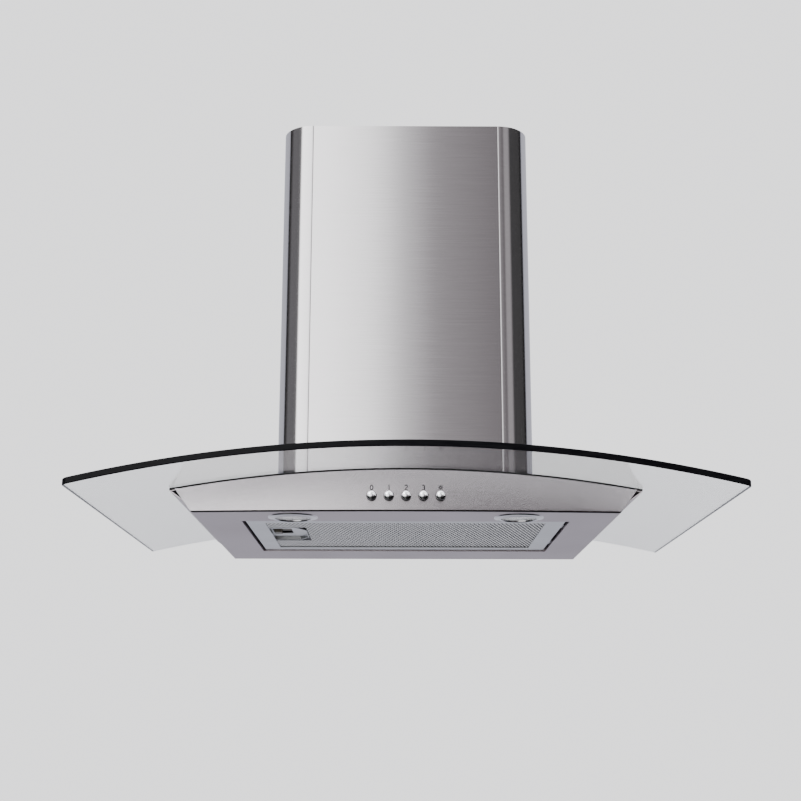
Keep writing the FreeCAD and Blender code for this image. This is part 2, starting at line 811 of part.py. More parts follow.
def make_filter():
    base = d.filter_base
    inner = base + d.sheet
    roof = filter_top - d.sheet
    shell = filter_box("frame_outside", 0, base, filter_top)
    channel = filter_box("frame_channel", d.sheet, inner, roof)
    window = filter_box("frame_window", d.filter_border, base - PAST, filter_top + PAST)
    tongue_room = d.latch_width / 2 + d.tongue_side_gap
    slot = block("tongue_slot", (-filter_half - PAST, PAST * 2 - filter_half),
                 (-d.latch_centre - tongue_room, -d.latch_centre + tongue_room),
                 (d.latch_height - d.fit_gap, d.latch_height + d.tongue_top_gap))
    tabs = []
    for name, side in (("front", -1), ("back", 1)):
        middle = -filter_middle + d.tab_spread / 2 * side
        tabs.append(block(f"tab_{name}", (filter_half - d.sheet, filter_half + d.filter_gap + d.tab_reach),
                          (middle - d.tab_width / 2, middle + d.tab_width / 2),
                          (d.tab_height, d.tab_height + d.tab_thickness)))
    hollow = cut("frame_hollow", shell, channel, window, slot)
    finish(join("frame", hollow, *tabs), "filter_frame")

    mesh = d.mesh_thickness
    room = d.sheet + d.mesh_edge_gap
    lower = filter_box("mesh_low", room, inner, inner + mesh)
    finish(cut("mesh_lower", lower, latch_pocket("mesh_window", 0, base, roof)), "filter_mesh_lower")
    finish(filter_box("mesh_upper", room, roof - mesh, roof), "filter_mesh_upper")
    pitch = (d.filter_height - d.sheet * 2 - mesh * 2) / (d.media_layers + 1)
    layers = []
    for number in range(1, int(d.media_layers.number) + 1):
        level = inner + mesh + pitch * number
        layer = filter_box(f"media_sheet_{number}", d.sheet + d.media_edge_gap, level,
                           level + d.media_thickness)
        half_room = d.recess_length / 2 + PAST
        latch_room = block(
            f"latch_room_{number}",
            (-filter_half, d.filter_border - filter_half + d.recess_width + d.media_latch_room),
            (-d.latch_centre - half_room, -d.latch_centre + half_room),
            (base, filter_top),
        )
        layers.append(cut(f"media_layer_{number}", layer, latch_room))
    finish(group("media", layers), "filter_media")


def make_latch():
    inner = d.filter_base + d.sheet
    floor = d.recess_floor
    edge_gap = d.recess_edge_gap
    middle = -d.latch_centre
    tray = cut(
        "recess_shell",
        latch_pocket("recess_outside", edge_gap, inner, floor + d.sheet),
        latch_pocket("recess_inside", edge_gap + d.sheet, inner - PAST, floor),
    )
    slot_left = d.filter_border - filter_half + d.finger_slot_inset
    slot_half = d.finger_slot_length / 2
    slot = block("finger_slot", (slot_left, slot_left + d.finger_slot_width),
                 (middle - slot_half, middle + slot_half), (0, floor + d.sheet + PAST))
    post_right = d.filter_border - filter_half + d.recess_width - edge_gap
    half_post = d.spring_post_width / 2
    post = block("spring_post", (post_right - d.spring_post_thickness, post_right),
                 (middle - half_post, middle + half_post), (floor, d.latch_height + d.strike_above))
    finish(join("recess_solid", cut("recess", tray, slot), post), "latch_recess")

    half = d.latch_width / 2
    tip = -filter_half - d.latch_reach
    heel = slot_left + d.finger_slot_width + d.latch_heel
    low = d.latch_height
    axis_height = low + d.latch_thickness / 2
    plate = block("latch_plate", (tip, heel), (middle - half, middle + half), (low, low + d.latch_thickness))
    knob_left = slot_left + d.latch_knob_start
    half_knob = half - d.latch_knob_inset
    knob = block("latch_knob", (knob_left, knob_left + d.latch_knob_length),
                 (middle - half_knob, middle + half_knob), (inner + PAST, low))
    peg = rod("latch_peg", d.latch_spring_radius / 2, (heel - d.latch_thickness / 2, middle, axis_height),
              d.latch_peg_length, "x")
    finish(join("latch", plate, knob, peg), "filter_latch")

    coil = d.latch_spring_radius - d.latch_spring_wire
    helix = doc.addObject("Part::Helix", "latch_spring_path")
    bind(helix, "Pitch", d.latch_spring_pitch)
    bind(helix, "Height", d.latch_travel + d.latch_spring_slack)
    bind(helix, "Radius", coil)
    ring = doc.addObject("Part::Circle", "latch_spring_ring")
    bind(ring, "Radius", d.latch_spring_wire)
    ring.Placement = FreeCAD.Placement(FreeCAD.Vector(), FreeCAD.Rotation(FreeCAD.Vector(1, 0, 0), 90))
    bind(ring, "Placement.Base.x", coil)
    sweep = doc.addObject("Part::Sweep", "latch_spring_sweep")
    sweep.Sections = [ring]
    sweep.Spine = (helix, ["Edge1"])
    sweep.Solid = True
    sweep.Frenet = True
    place(sweep, heel + d.latch_spring_start, middle, axis_height, "x")
    finish(sweep, "latch_spring")


# ---- chimney -----------------------------------------------------------------------------

def chimney_section(name, inset, back_gap, bottom, height):
    """A folded U of sheet, open to the wall, with two returned edges."""
    thickness = d.sheet
    half = d.cover_width / 2 - inset
    front = -d.cover_depth + inset
    radius = d.cover_corner_radius - inset
    back = -as_size(back_gap)
    hook = half - d.cover_return
    deep = back - thickness
    inner = half - thickness
    inner_front = front + thickness
    return padded(
        name, "XY_Plane",
        (
            (-hook, back), (-half, back), (-half, front + radius), (radius - half, front, radius),
            (half - radius, front), (half, front + radius, radius), (half, back), (hook, back),
            (hook, deep), (inner, deep), (inner, front + radius),
            (half - radius, inner_front, thickness - radius),
            (radius - half, inner_front), (-inner, front + radius, thickness - radius),
            (-inner, deep), (-hook, deep),
        ),
        height, (0, 0, bottom),
    )


def make_chimney():
    bottom = d.glass_height - d.cover_overlap
    tube = chimney_section("cover_tube", 0, 0, bottom, d.cover_top - bottom)
    cover = cut("cover", tube, bend_cylinder("cover_foot", d.glass_thickness + d.cover_foot_gap))
    finish(cover, "chimney_cover")
    inset = d.sheet + d.extension_gap
    top = d.cover_top - d.extension_drop
    extension = chimney_section("extension", inset, d.extension_back_gap, d.extension_bottom,
                                top - d.extension_bottom)
    finish(extension, "chimney_extension")

    half = d.cover_width / 2 - inset - d.sheet
    back = -d.extension_back_gap - d.sheet
    level = top - d.bracket_height
    thickness = d.bracket_thickness
    strip = block("bracket_strip", (-half, half), (back - thickness, back), (level, top))
    ears = [block(f"bracket_ear_{name}", sorted_span(half * side, (half - thickness) * side),
                  (back - d.bracket_ear, back), (level, top)) for name, side in SIDES]
    holes = [rod(f"bracket_hole_{name}", d.bracket_hole_radius,
                 (d.bracket_hole_spacing / 2 * side, -FAR_PAST, level + d.bracket_height / 2),
                 FAR_PAST * 2, "y")
             for name, side in SIDES]
    finish(cut("bracket", join("bracket_solid", strip, *ears), *holes), "chimney_bracket")


# ---- blower box --------------------------------------------------------------------------

def flange_rim(name, back):
    """Plan of the box's foot: rounded in front so that it clears the chimney's folded corners."""
    side = half_box + d.box_flange
    front = box_front + d.box_flange
    corner = d.box_flange_corner
    return padded(
        name, "XY_Plane",
        (
            (side, back), (-side, back), (-side, corner - front), (corner - side, -front, corner),
            (side - corner, -front), (side, corner - front, corner),
        ),
        tall + FAR_PAST,
    )


def make_box():
    wall = d.box_wall
    back = -d.hanger_thickness
    inner = half_box - wall
    under = d.glass_height - FAR_PAST
    walls = cut(
        "box_walls",
        block("box_outside", (-half_box, half_box), (-box_front, back), (under, d.box_top)),
        block("box_inside", (-inner, inner), (wall - box_front, back - wall),
              (under - PAST, d.box_top - wall)),
        bend_cylinder("box_foot", flange_bottom),
    )
    hollow = block("flange_hollow", (-inner, inner), (wall - box_front, back - wall),
                   (under, tall + HEADROOM))
    flange = curved_layer("flange", flange_bottom, flange_bottom + wall,
                          cut("flange_plan", flange_rim("flange_rim", back), hollow))
    tools = [rod("outlet_hole", d.collar_radius - d.collar_wall,
                 (0, outlet_centre, d.box_top - FAR_PAST / 2), FAR_PAST)]
    for spot, x, y in clamp_spots():
        tools.append(rod(f"flange_hole_{spot}", d.clamp_hole_radius, (x, y, under), tall))
    for name, side in SIDES:
        tools.append(rod(f"hanger_access_{name}", d.hanger_access_radius,
                         (d.hanger_spacing / 2 * side, back - FAR_PAST / 2, -d.underside_z),
                         FAR_PAST, "y"))
    finish(cut("box", join("box_joined", walls, flange), *tools), "blower_box")

    seal_plan = cut(
        "seal_plan",
        flange_rim("seal_rim", back),
        block("seal_hollow", (-half_box - d.box_clearance, half_box + d.box_clearance),
              (-box_front - d.box_clearance, FAR_PAST), (under - PAST, tall + HEADROOM)),
    )
    seal = curved_layer("seal", d.glass_thickness, flange_bottom, seal_plan)
    holes = [rod(f"seal_hole_{spot}", d.clamp_hole_radius, (x, y, under), tall)
             for spot, x, y in clamp_spots()]
    finish(cut("seal_cut", seal, *holes), "box_seal")

    half_height = d.hanger_height / 2
    plate = block("hanger_plate", (d.hanger_inset - half_box, half_box - d.hanger_inset), (back, 0),
                  (-d.underside_z - half_height, half_height - d.underside_z))
    holes = [rod(f"hanger_hole_{name}", d.hanger_hole_radius,
                 (d.hanger_spacing / 2 * side, -FAR_PAST / 2, -d.underside_z), FAR_PAST, "y")
             for name, side in SIDES]
    finish(cut("hanger", plate, *holes), "wall_bracket")


def make_clamps():
    """Screws, nuts and nylon bushes that clamp the glass between the box and the body."""
    screws, nuts, bushes = [], [], []
    screw = d.clamp_screw_radius
    top = clamp_height(flange_bottom) + d.box_wall + d.clamp_head_lift
    bush_low = clamp_height(as_size(0)) + d.bush_inset
    nut_top = clamp_height(-d.gasket_thickness - d.sheet) - d.clamp_nut_drop
    for spot, x, y in clamp_spots():
        shank_low = nut_top - d.clamp_tail
        shank = rod(f"clamp_shank_{spot}", screw, (x, y, shank_low), top - shank_low)
        head = rod(f"clamp_head_{spot}", d.clamp_head_radius, (x, y, top), d.clamp_head_height)
        screws.append(join(f"clamp_screw_{spot}", shank, head))
        nut_low = nut_top - d.clamp_nut_height
        nut = rod(f"clamp_nut_outer_{spot}", d.clamp_nut_radius, (x, y, nut_low), d.clamp_nut_height)
        nuts.append(cut(f"clamp_nut_{spot}", nut,
                        rod(f"clamp_nut_bore_{spot}", screw + d.clamp_nut_gap, (x, y, nut_low - PAST),
                            d.clamp_nut_height + PAST * 2)))
        sleeve = rod(f"bush_outer_{spot}", d.bush_radius, (x, y, bush_low),
                     d.glass_thickness - d.bush_shortfall)
        bushes.append(cut(f"bush_{spot}", sleeve,
                          rod(f"bush_bore_{spot}", screw + d.bush_gap, (x, y, bush_low - PAST), tall)))
    for name, pieces in (("clamp_screws", screws), ("clamp_nuts", nuts), ("glass_bushes", bushes)):
        finish(group(name, pieces), name)


def group(name, pieces):
    """Separate solids kept together in one sub-part."""
    item = doc.addObject("Part::Compound", name)
    item.Links = list(pieces)
    return item


# ---- blower ------------------------------------------------------------------------------

def volute_outline(offset):
    """Three quarter-turns of growing radius and a straight outlet neck, in the YZ plane."""
    y = -d.blower_from_wall
    z = d.blower_height
    half_step = d.volute_step / 2
    first = d.volute_radius + offset
    second = first + d.volute_step
    third = second + d.volute_step
    top = d.box_top - d.box_wall
    left = y - half_step
    return (
        (left - offset, top), (left - offset, z - half_step + d.volute_radius),
        (left - first, z - half_step, first), (y + half_step, z - half_step - second, second),
        (y + half_step + third, z + half_step, third), (y + half_step + third, top),
    )


def volute_prism(name, offset, low, high):
    return padded(name, "YZ_Plane", volute_outline(offset), high - low, (low, 0, 0))


def make_scroll():
    half = d.volute_half_width
    wall = d.volute_wall
    inside = volute_outline(as_size(0))
    over = d.box_top + PAST
    opened = ((inside[0][0], over), *inside[1:-1], (inside[-1][0], over))
    wrap = cut("wrap", volute_prism("wrap_outside", wall, -half, half),
               padded("wrap_inside", "YZ_Plane", opened, (half + PAST) * 2, (-half - PAST, 0, 0)))
    finish(wrap, "scroll_wrap")
    y, z = -d.blower_from_wall, d.blower_height
    for name, side in SIDES:
        low = half if side > 0 else -half - wall
        plate = volute_prism(f"side_{name}", wall, low, low + wall)
        hole = rod(f"inlet_hole_{name}", d.inlet_radius, (low - PAST, y, z), wall + PAST * 2, "x")
        finish(cut(f"scroll_{name}", plate, hole), f"scroll_side_{name}")
        lip = d.inlet_lip
        metal = d.inlet_ring_wall
        rim = d.inlet_radius + lip
        outline = (
            (d.inlet_radius, 0), (rim, 0), (rim, metal),
            (d.inlet_radius + metal, d.inlet_ring_reach, metal - lip), (d.inlet_radius, d.inlet_ring_reach),
        )
        mouth = turned(f"mouth_{name}", outline)
        mouth.Placement = FreeCAD.Placement(
            FreeCAD.Vector(), FreeCAD.Rotation(FreeCAD.Vector(0, 1, 0), 90 * side))
        bind(mouth, "Placement.Base.x", (half + wall) * side)
        bind(mouth, "Placement.Base.y", y)
        local_heights[mouth.Name] = z
        finish(mouth, f"inlet_ring_{name}")


def make_motor():
    y, z = -d.blower_from_wall, d.blower_height
    face = -d.volute_half_width - d.volute_wall - d.inlet_lip - d.motor_mount_gap
    plate = d.motor_plate
    width = d.motor_ring_width
    half_arm = d.motor_arm_width / 2
    ring = cut("bracket_ring", rod("ring_outer", d.inlet_radius + width, (face - plate, y, z), plate, "x"),
               rod("ring_inner", d.inlet_radius - width, (face - plate - PAST, y, z), plate + PAST * 2, "x"))
    hub = rod("bracket_hub", d.motor_hub_radius, (face - plate, y, z), plate, "x")
    arms = []
    for number, degrees in enumerate(MOTOR_ARM_ANGLES):
        arm = block(f"bracket_arm_{number}", (face - plate, face), (-half_arm, half_arm),
                    (0, d.inlet_radius))
        arm.Placement = FreeCAD.Placement(
            FreeCAD.Vector(), FreeCAD.Rotation(FreeCAD.Vector(1, 0, 0), degrees))
        angle = math.radians(degrees)
        bind(arm, "Placement.Base.x", face - plate)
        bind(arm, "Placement.Base.y", y - half_arm * round(math.cos(angle), 6))
        bind(arm, "Placement.Base.z", z - half_arm * round(math.sin(angle), 6))
        arms.append(arm)
    finish(join("motor_bracket_solid", ring, hub, *arms), "motor_bracket")

    length = d.motor_length
    radius = d.motor_radius
    corner = d.motor_corner
    bore = d.shaft_radius + d.motor_bore_gap
    boss = d.shaft_radius + d.motor_boss_wall
    motor = turned(
        "motor_body",
        (
            (bore, 0), (radius - corner, 0), (radius, corner, corner), (radius, length - corner),
            (radius - corner, length, corner), (boss, length), (boss, length + d.motor_boss_height),
            (bore, length + d.motor_boss_height),
        ),
        (face, y, z), "x",
    )
    finish(motor, "motor")
    screws = []
    for number, degrees in enumerate(MOTOR_SCREW_ANGLES):
        angle = math.radians(degrees)
        spot = (face - plate - d.motor_screw_head, y - d.motor_screw_circle * round(math.sin(angle), 6),
                z + d.motor_screw_circle * round(math.cos(angle), 6))
        screws.append(rod(f"motor_screw_{number}", d.motor_screw_radius, spot, d.motor_screw_head, "x"))
    finish(group("motor_screws", screws), "motor_screws")

    start = face + d.motor_mount_gap
    shaft = rod("shaft", d.shaft_radius, (start, y, z), d.hub_length + d.shaft_tail + PAST - start, "x")
    finish(shaft, "rotor_shaft")
    make_impeller(y, z)


def padded_ring(body, name, outer, inner, start, length):
    """Add a flat ring of the rotor to a body, from start along +X."""
    sketch = sketch_in(body, name, "YZ_Plane")
    bind(sketch, "AttachmentOffset.Base.z", start)
    for radius in (outer, inner):
        index = sketch.addGeometry(
            Part.Circle(FreeCAD.Vector(), FreeCAD.Vector(0, 0, 1), radius.number), False)
        sketch.addConstraint(Sketcher.Constraint("Coincident", index, 3, -1, 1))
        rule = sketch.addConstraint(Sketcher.Constraint("Radius", index, radius.number))
        bind(sketch, f"Constraints[{rule}]", radius)
    pad = body.newObject("PartDesign::Pad", f"{name}_pad")
    pad.Profile = sketch
    bind(pad, "Length", length)
    body.Tip = pad
    return sketch


def make_impeller(y, z):
    """A disc on a hub, with a cage of forward-swept blades on each of its faces."""
    plate = d.impeller_plate
    bore = d.shaft_radius + d.press_gap
    hub = doc.addObject("PartDesign::Body", "impeller_hub")
    padded_ring(hub, "impeller_disc", d.impeller_radius, bore, 0, plate)
    padded_ring(hub, "impeller_boss", d.hub_radius, bore, 0, d.hub_length)
    place(hub, 0, y, z)
    finish(hub, "impeller_hub")
    half = d.impeller_half_width
    cages = (("left", -half, as_size(0), -half), ("right", plate, half, half - plate))
    for name, start, end, ring in cages:
        finish(blade_cage(name, start, end, ring, y, z), f"impeller_blades_{name}")


def blade_cage(name, start, end, ring_start, y, z):
    outer = d.impeller_radius
    inner = outer - d.blade_depth
    body = doc.addObject("PartDesign::Body", f"blades_{name}")
    ring = padded_ring(body, f"blade_ring_{name}", outer, inner, ring_start, d.impeller_plate)
    blade = sketch_in(body, f"blade_{name}", "YZ_Plane")
    half_blade = d.blade_thickness / 2
    root_end = inner + d.fit_gap
    tip = outer - half_blade
    draw_outline(blade, (
        (root_end, -half_blade), (tip, d.blade_sweep - half_blade),
        (tip, d.blade_sweep + half_blade), (root_end, half_blade),
    ))
    bind(blade, "AttachmentOffset.Base.z", start)
    first = body.newObject("PartDesign::Pad", f"blade_pad_{name}")
    first.Profile = blade
    bind(first, "Length", end - start)
    body.Tip = first
    doc.recompute()
    polar = body.newObject("PartDesign::PolarPattern", f"blades_round_{name}")
    polar.Originals = [first]
    polar.Axis = (ring, ["N_Axis"])
    polar.Angle = 360
    bind(polar, "Occurrences", d.blade_count)
    body.Tip = polar
    return place(body, 0, y, z)


# ---- outlet collar and flaps -------------------------------------------------------------

def make_collar():
    outer = d.collar_radius
    inner = outer - d.collar_wall
    base = d.box_top
    ledge = d.collar_ledge_height
    flange = d.collar_flange
    lip = inner - d.collar_ledge_width
    profile = (
        (lip, ledge - d.collar_ledge_edge), (inner, ledge - d.collar_ledge_root), (inner, 0),
        (d.collar_flange_radius, 0), (d.collar_flange_radius, flange), (outer, flange),
        (outer, d.collar_height), (inner, d.collar_height), (inner, ledge), (lip, ledge),
    )
    tube = turned("collar_tube", profile, (0, outlet_centre, base))
    bore = rod("collar_rod_bore", d.flap_rod_radius, (-outer - PAST, outlet_centre, hinge_height),
               (outer + PAST) * 2, "x")
    reach = d.collar_flange_radius - d.collar_hole_inset
    holes, screws = [], []
    for number, degrees in enumerate(COLLAR_SCREW_ANGLES):
        angle = math.radians(degrees)
        x = reach * round(math.cos(angle), 6)
        y = outlet_centre + reach * round(math.sin(angle), 6)
        holes.append(rod(f"collar_hole_{number}", d.collar_hole_radius, (x, y, base - PAST),
                         flange + PAST * 3))
        screws.append(join(
            f"collar_screw_{number}",
            rod(f"collar_screw_shank_{number}", d.collar_screw_radius, (x, y, base), d.collar_screw_length),
            rod(f"collar_screw_head_{number}", d.collar_screw_head_radius, (x, y, base + flange),
                d.collar_screw_head_height),
        ))
    finish(cut("collar", tube, bore, *holes), "outlet_collar")
    finish(group("collar_screws", screws), "collar_screws")
    finish(rod("flap_rod_solid", d.flap_rod_radius, (-outer, outlet_centre, hinge_height), outer * 2, "x"),
           "flap_rod")
    make_flaps(inner)


def make_flaps(inner):
    """Two half-discs that share one hinge rod; each has its own pair of knuckles."""
    radius = inner - d.flap_edge_gap
    knuckle = d.knuckle_radius
    level = d.box_top + d.collar_ledge_height + d.fit_gap
    quarter = radius / 2 - d.flap_knuckle_margin
    notch_gap = d.flap_notch_end_gap
    end_gap = d.knuckle_end_gap
    reach = knuckle + d.knuckle_side_gap
    starts = {-1: (-2 * quarter, as_size(0)), 1: (-quarter, quarter)}
    for name, side in (("front", -1), ("back", 1)):
        disc = rod(f"flap_disc_{name}", radius, (0, outlet_centre, level), d.flap_thickness)
        near, far = sorted_span(side * d.flap_middle_gap, side * (radius + PAST))
        half = common(f"flap_half_{name}", disc,
                      block(f"flap_side_{name}", (-radius - PAST, radius + PAST),
                            (outlet_centre + near, outlet_centre + far),
                            (level - PAST, level + FAR_PAST)))
        clear = [block(f"flap_clear_{name}_{number}", (start - notch_gap, start + quarter + notch_gap),
                       (outlet_centre - reach, outlet_centre + reach), (level - PAST, level + FAR_PAST))
                 for number, start in enumerate(starts[-side])]
        knuckles = [rod(f"flap_knuckle_{name}_{number}", knuckle,
                        (start + end_gap, outlet_centre, hinge_height), quarter - end_gap * 2, "x")
                    for number, start in enumerate(starts[side])]
        plate = cut(f"flap_plate_{name}", half, *clear)
        bore = rod(f"flap_bore_{name}", d.flap_rod_radius + d.flap_running_gap,
                   (-radius - PAST, outlet_centre, hinge_height), (radius + PAST) * 2, "x")
        finish(cut(f"flap_{name}", join(f"flap_solid_{name}", plate, *knuckles), bore), f"flap_{name}")


# ---- electrical box ----------------------------------------------------------------------

def make_terminals():
    wall = d.terminal_wall
    left = d.terminal_from_side - half_box
    right = left + d.terminal_length
    front = d.terminal_from_front - box_front
    back = front + d.terminal_depth
    base = d.box_top
    top = base + d.terminal_height
    gland_y = (front + back) / 2
    gland_z = base + d.terminal_height / 2
    case = cut(
        "terminal_case",
        block("terminal_outside", (left, right), (front, back), (base, top)),
        block("terminal_inside", (left + wall, right - wall), (front + wall, back - wall),
              (base + wall, top + PAST)),
        rod("terminal_knockout", d.gland_bore_radius + d.gland_wall,
            (right - wall - PAST, gland_y, gland_z), wall + PAST * 2, "x"),
    )
    finish(case, "terminal_box")
    finish(block("terminal_lid_solid", (left, right), (front, back), (top, top + wall)), "terminal_lid")
    lid_screws = [rod(f"lid_screw_{number}", d.lid_screw_radius, (x, gland_y, top + wall),
                      d.lid_screw_height)
                  for number, x in enumerate((left + d.lid_screw_inset, right - d.lid_screw_inset))]
    finish(group("lid_screws", lid_screws), "terminal_lid_screws")
    bore = d.gland_bore_radius
    thread = bore + d.gland_wall
    shoulder = wall + d.gland_inset
    nut_end = shoulder + d.gland_nut_height
    reach = d.gland_length
    gland = turned(
        "gland",
        (
            (bore, 0), (thread, 0), (thread, shoulder), (thread + d.gland_nut_wall, shoulder),
            (thread + d.gland_nut_wall, nut_end), (thread + d.gland_wall, nut_end),
            (thread + d.gland_wall, reach - d.gland_nose), (thread, reach), (bore, reach),
        ),
        (right - shoulder, gland_y, gland_z), "x",
    )
    finish(gland, "cable_gland")
    spot = half_box - d.capacitor_radius - d.capacitor_margin
    can = rod("capacitor_can", d.capacitor_radius, (spot, -d.capacitor_from_wall, base), d.capacitor_length)
    finish(can, "motor_capacitor")


def check_document():
    doc.recompute()
    for item in doc.Objects:
        if "Invalid" in item.State or "Error" in item.State:
            raise RuntimeError(f"{item.Label} did not compute: {item.State}")
    for item in SUBPARTS:
        if item.Shape.isNull() or not item.Shape.isValid() or not item.Shape.Solids:
            raise RuntimeError(f"{item.Label} has no valid solid")


def write_parts():
    os.makedirs("parts", exist_ok=True)
    for item in SUBPARTS:
        item.Shape.exportStep(f"parts/{item.Label}.step")


make_glass()
make_gasket()
make_shell()
make_underside()
make_fascia()
make_buttons()
make_switches()
make_lamps()
make_filter()
make_latch()
make_chimney()
make_box()
make_clamps()
make_scroll()
make_motor()
make_collar()
make_terminals()
check_document()
write_parts()
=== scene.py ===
"""Looks for a wall-hung chimney hood with a curved glass canopy.

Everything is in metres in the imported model's frame: +X right, +Y into the wall, +Z up, origin at the
middle of the hanging screws. Detailed pieces replace the plain CAD nodes that show most; the other
nodes keep their CAD meshes and get procedural materials.
"""

import json
import math

import bmesh
import bpy
from mathutils import Matrix, Vector


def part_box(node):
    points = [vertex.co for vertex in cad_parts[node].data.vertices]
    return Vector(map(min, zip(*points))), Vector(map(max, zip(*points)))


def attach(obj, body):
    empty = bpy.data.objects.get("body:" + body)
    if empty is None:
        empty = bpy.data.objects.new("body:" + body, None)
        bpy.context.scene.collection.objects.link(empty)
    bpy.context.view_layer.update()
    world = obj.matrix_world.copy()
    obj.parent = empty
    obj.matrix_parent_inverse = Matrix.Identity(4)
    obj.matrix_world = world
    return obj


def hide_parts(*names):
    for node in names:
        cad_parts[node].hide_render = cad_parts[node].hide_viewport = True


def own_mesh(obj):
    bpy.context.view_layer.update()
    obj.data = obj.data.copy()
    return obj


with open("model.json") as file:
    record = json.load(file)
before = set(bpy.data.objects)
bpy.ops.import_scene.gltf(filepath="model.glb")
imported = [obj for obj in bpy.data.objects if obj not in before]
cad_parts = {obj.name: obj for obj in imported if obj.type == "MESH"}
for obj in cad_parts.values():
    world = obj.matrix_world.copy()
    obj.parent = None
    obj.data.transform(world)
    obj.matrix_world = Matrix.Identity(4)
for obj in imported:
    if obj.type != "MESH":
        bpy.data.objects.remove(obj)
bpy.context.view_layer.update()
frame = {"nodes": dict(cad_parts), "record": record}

MM = 0.001
MERGE_DISTANCE = 0.001 * MM
CUT_TOLERANCE = 0.0001 * MM

# ---- sizes of the design that the detailed pieces share ----------------------------------

GLASS_THICKNESS = 6.0 * MM
GLASS_BULGE = 10.0 * MM
GLASS_TIP_RADIUS = 6.0 * MM
GLASS_NOTCH_GAP = 3.0 * MM
GLASS_EDGE_ROUNDING = 0.9 * MM
BLOWER_BOX_FLANGE = 18.0 * MM
FASCIA_BULGE = 10.0 * MM
SHEET = 0.8 * MM
COVER_CORNER_RADIUS = 33.0 * MM
COVER_RETURN = 15.0 * MM
BUTTON_RADIUS = 4.6 * MM

glass_low, glass_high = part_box("glass_canopy")
box_low, box_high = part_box("blower_box")
cover_low, cover_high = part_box("chimney_cover")
fascia_low, fascia_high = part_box("front_fascia")
panel_low, panel_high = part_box("underside_panel")


def arc_radius(chord, rise):
    return (chord * chord / 4 + rise * rise) / (2 * rise)


box_outer_half = box_high.x - BLOWER_BOX_FLANGE
box_front = -box_low.y - BLOWER_BOX_FLANGE
glass_half = glass_high.x
glass_side_depth = -glass_low.y - GLASS_BULGE
glass_sagitta = glass_high.z - glass_low.z - GLASS_THICKNESS
BEND_RADIUS = arc_radius(2 * glass_half, glass_sagitta)
bend_centre_z = glass_high.z - GLASS_THICKNESS - BEND_RADIUS


def bend_height(x, offset=0.0):
    """Height of the surface that lies this far above the glass underside."""
    radius = BEND_RADIUS + offset
    return bend_centre_z + math.sqrt(radius * radius - x * x)


# ---- node materials ----------------------------------------------------------------------

class Finish:
    """A Principled material and short calls that add procedural detail to it."""

    def __init__(self, name, **settings):
        self.material = bpy.data.materials.new(name)
        self.material.use_nodes = True
        self.tree = self.material.node_tree
        self.shader = self.tree.nodes["Principled BSDF"]
        for socket, value in settings.items():
            self.shader.inputs[socket.replace("_", " ")].default_value = value
        self.place = self.node("ShaderNodeTexCoord").outputs["Object"]

    def node(self, kind, **values):
        made = self.tree.nodes.new(kind)
        for name, value in values.items():
            setattr(made, name, value)
        return made

    def link(self, source, target):
        self.tree.links.new(source, target)

    def stretched(self, scale):
        """Object coordinates multiplied by a scale for each axis."""
        mapping = self.node("ShaderNodeMapping")
        mapping.inputs["Scale"].default_value = scale
        self.link(self.place, mapping.inputs["Vector"])
        return mapping.outputs["Vector"]

    def noise(self, scale, detail=3.0, roughness=0.5):
        texture = self.node("ShaderNodeTexNoise")
        texture.inputs["Scale"].default_value = 1.0
        texture.inputs["Detail"].default_value = detail
        texture.inputs["Roughness"].default_value = roughness
        self.link(self.stretched(scale), texture.inputs["Vector"])
        return texture.outputs["Fac"]

    def cells(self, scale, output):
        texture = self.node("ShaderNodeTexVoronoi")
        texture.inputs["Scale"].default_value = 1.0
        self.link(self.stretched(scale), texture.inputs["Vector"])
        return texture.outputs[output]

    def spread(self, value, low, high, from_low, from_high):
        """Map a value to the range from low to high."""
        mapped = self.node("ShaderNodeMapRange")
        for name, number in (("From Min", from_low), ("From Max", from_high),
                             ("To Min", low), ("To Max", high)):
            mapped.inputs[name].default_value = number
        self.link(value, mapped.inputs["Value"])
        return mapped.outputs["Result"]

    def add(self, first, second, share):
        mixed = self.node("ShaderNodeMix")
        mixed.inputs["Factor"].default_value = share
        self.link(first, mixed.inputs["A"])
        self.link(second, mixed.inputs["B"])
        return mixed.outputs["Result"]

    def ramp(self, value, *stops):
        made = self.node("ShaderNodeValToRGB")
        elements = made.color_ramp.elements
        while len(elements) < len(stops):
            elements.new(1.0)
        for element, (position, colour) in zip(elements, stops):
            element.position = position
            element.color = (*colour, 1.0)
        self.link(value, made.inputs["Fac"])
        return made.outputs["Color"]

    def colour(self, value, *stops):
        self.link(self.ramp(value, *stops), self.shader.inputs["Base Color"])
        return self

    def rough(self, value, low, high, from_low=0.3, from_high=0.7):
        mapped = self.spread(value, low, high, from_low, from_high)
        self.link(mapped, self.shader.inputs["Roughness"])
        return self

    def bump(self, value, strength, distance):
        made = self.node("ShaderNodeBump")
        made.inputs["Strength"].default_value = strength
        made.inputs["Distance"].default_value = distance
        self.link(value, made.inputs["Height"])
        self.link(made.outputs["Normal"], self.shader.inputs["Normal"])
        return self

    def along(self, x, y, z):
        """The direction that highlights are drawn out along."""
        tangent = self.node("ShaderNodeCombineXYZ")
        for name, value in zip("XYZ", (x, y, z)):
            tangent.inputs[name].default_value = value
        self.link(tangent.outputs["Vector"], self.shader.inputs["Tangent"])
        return self


def metal(name, roughness, anisotropic=0.0):
    return Finish(name, Metallic=1.0, Roughness=roughness, Anisotropic=anisotropic)


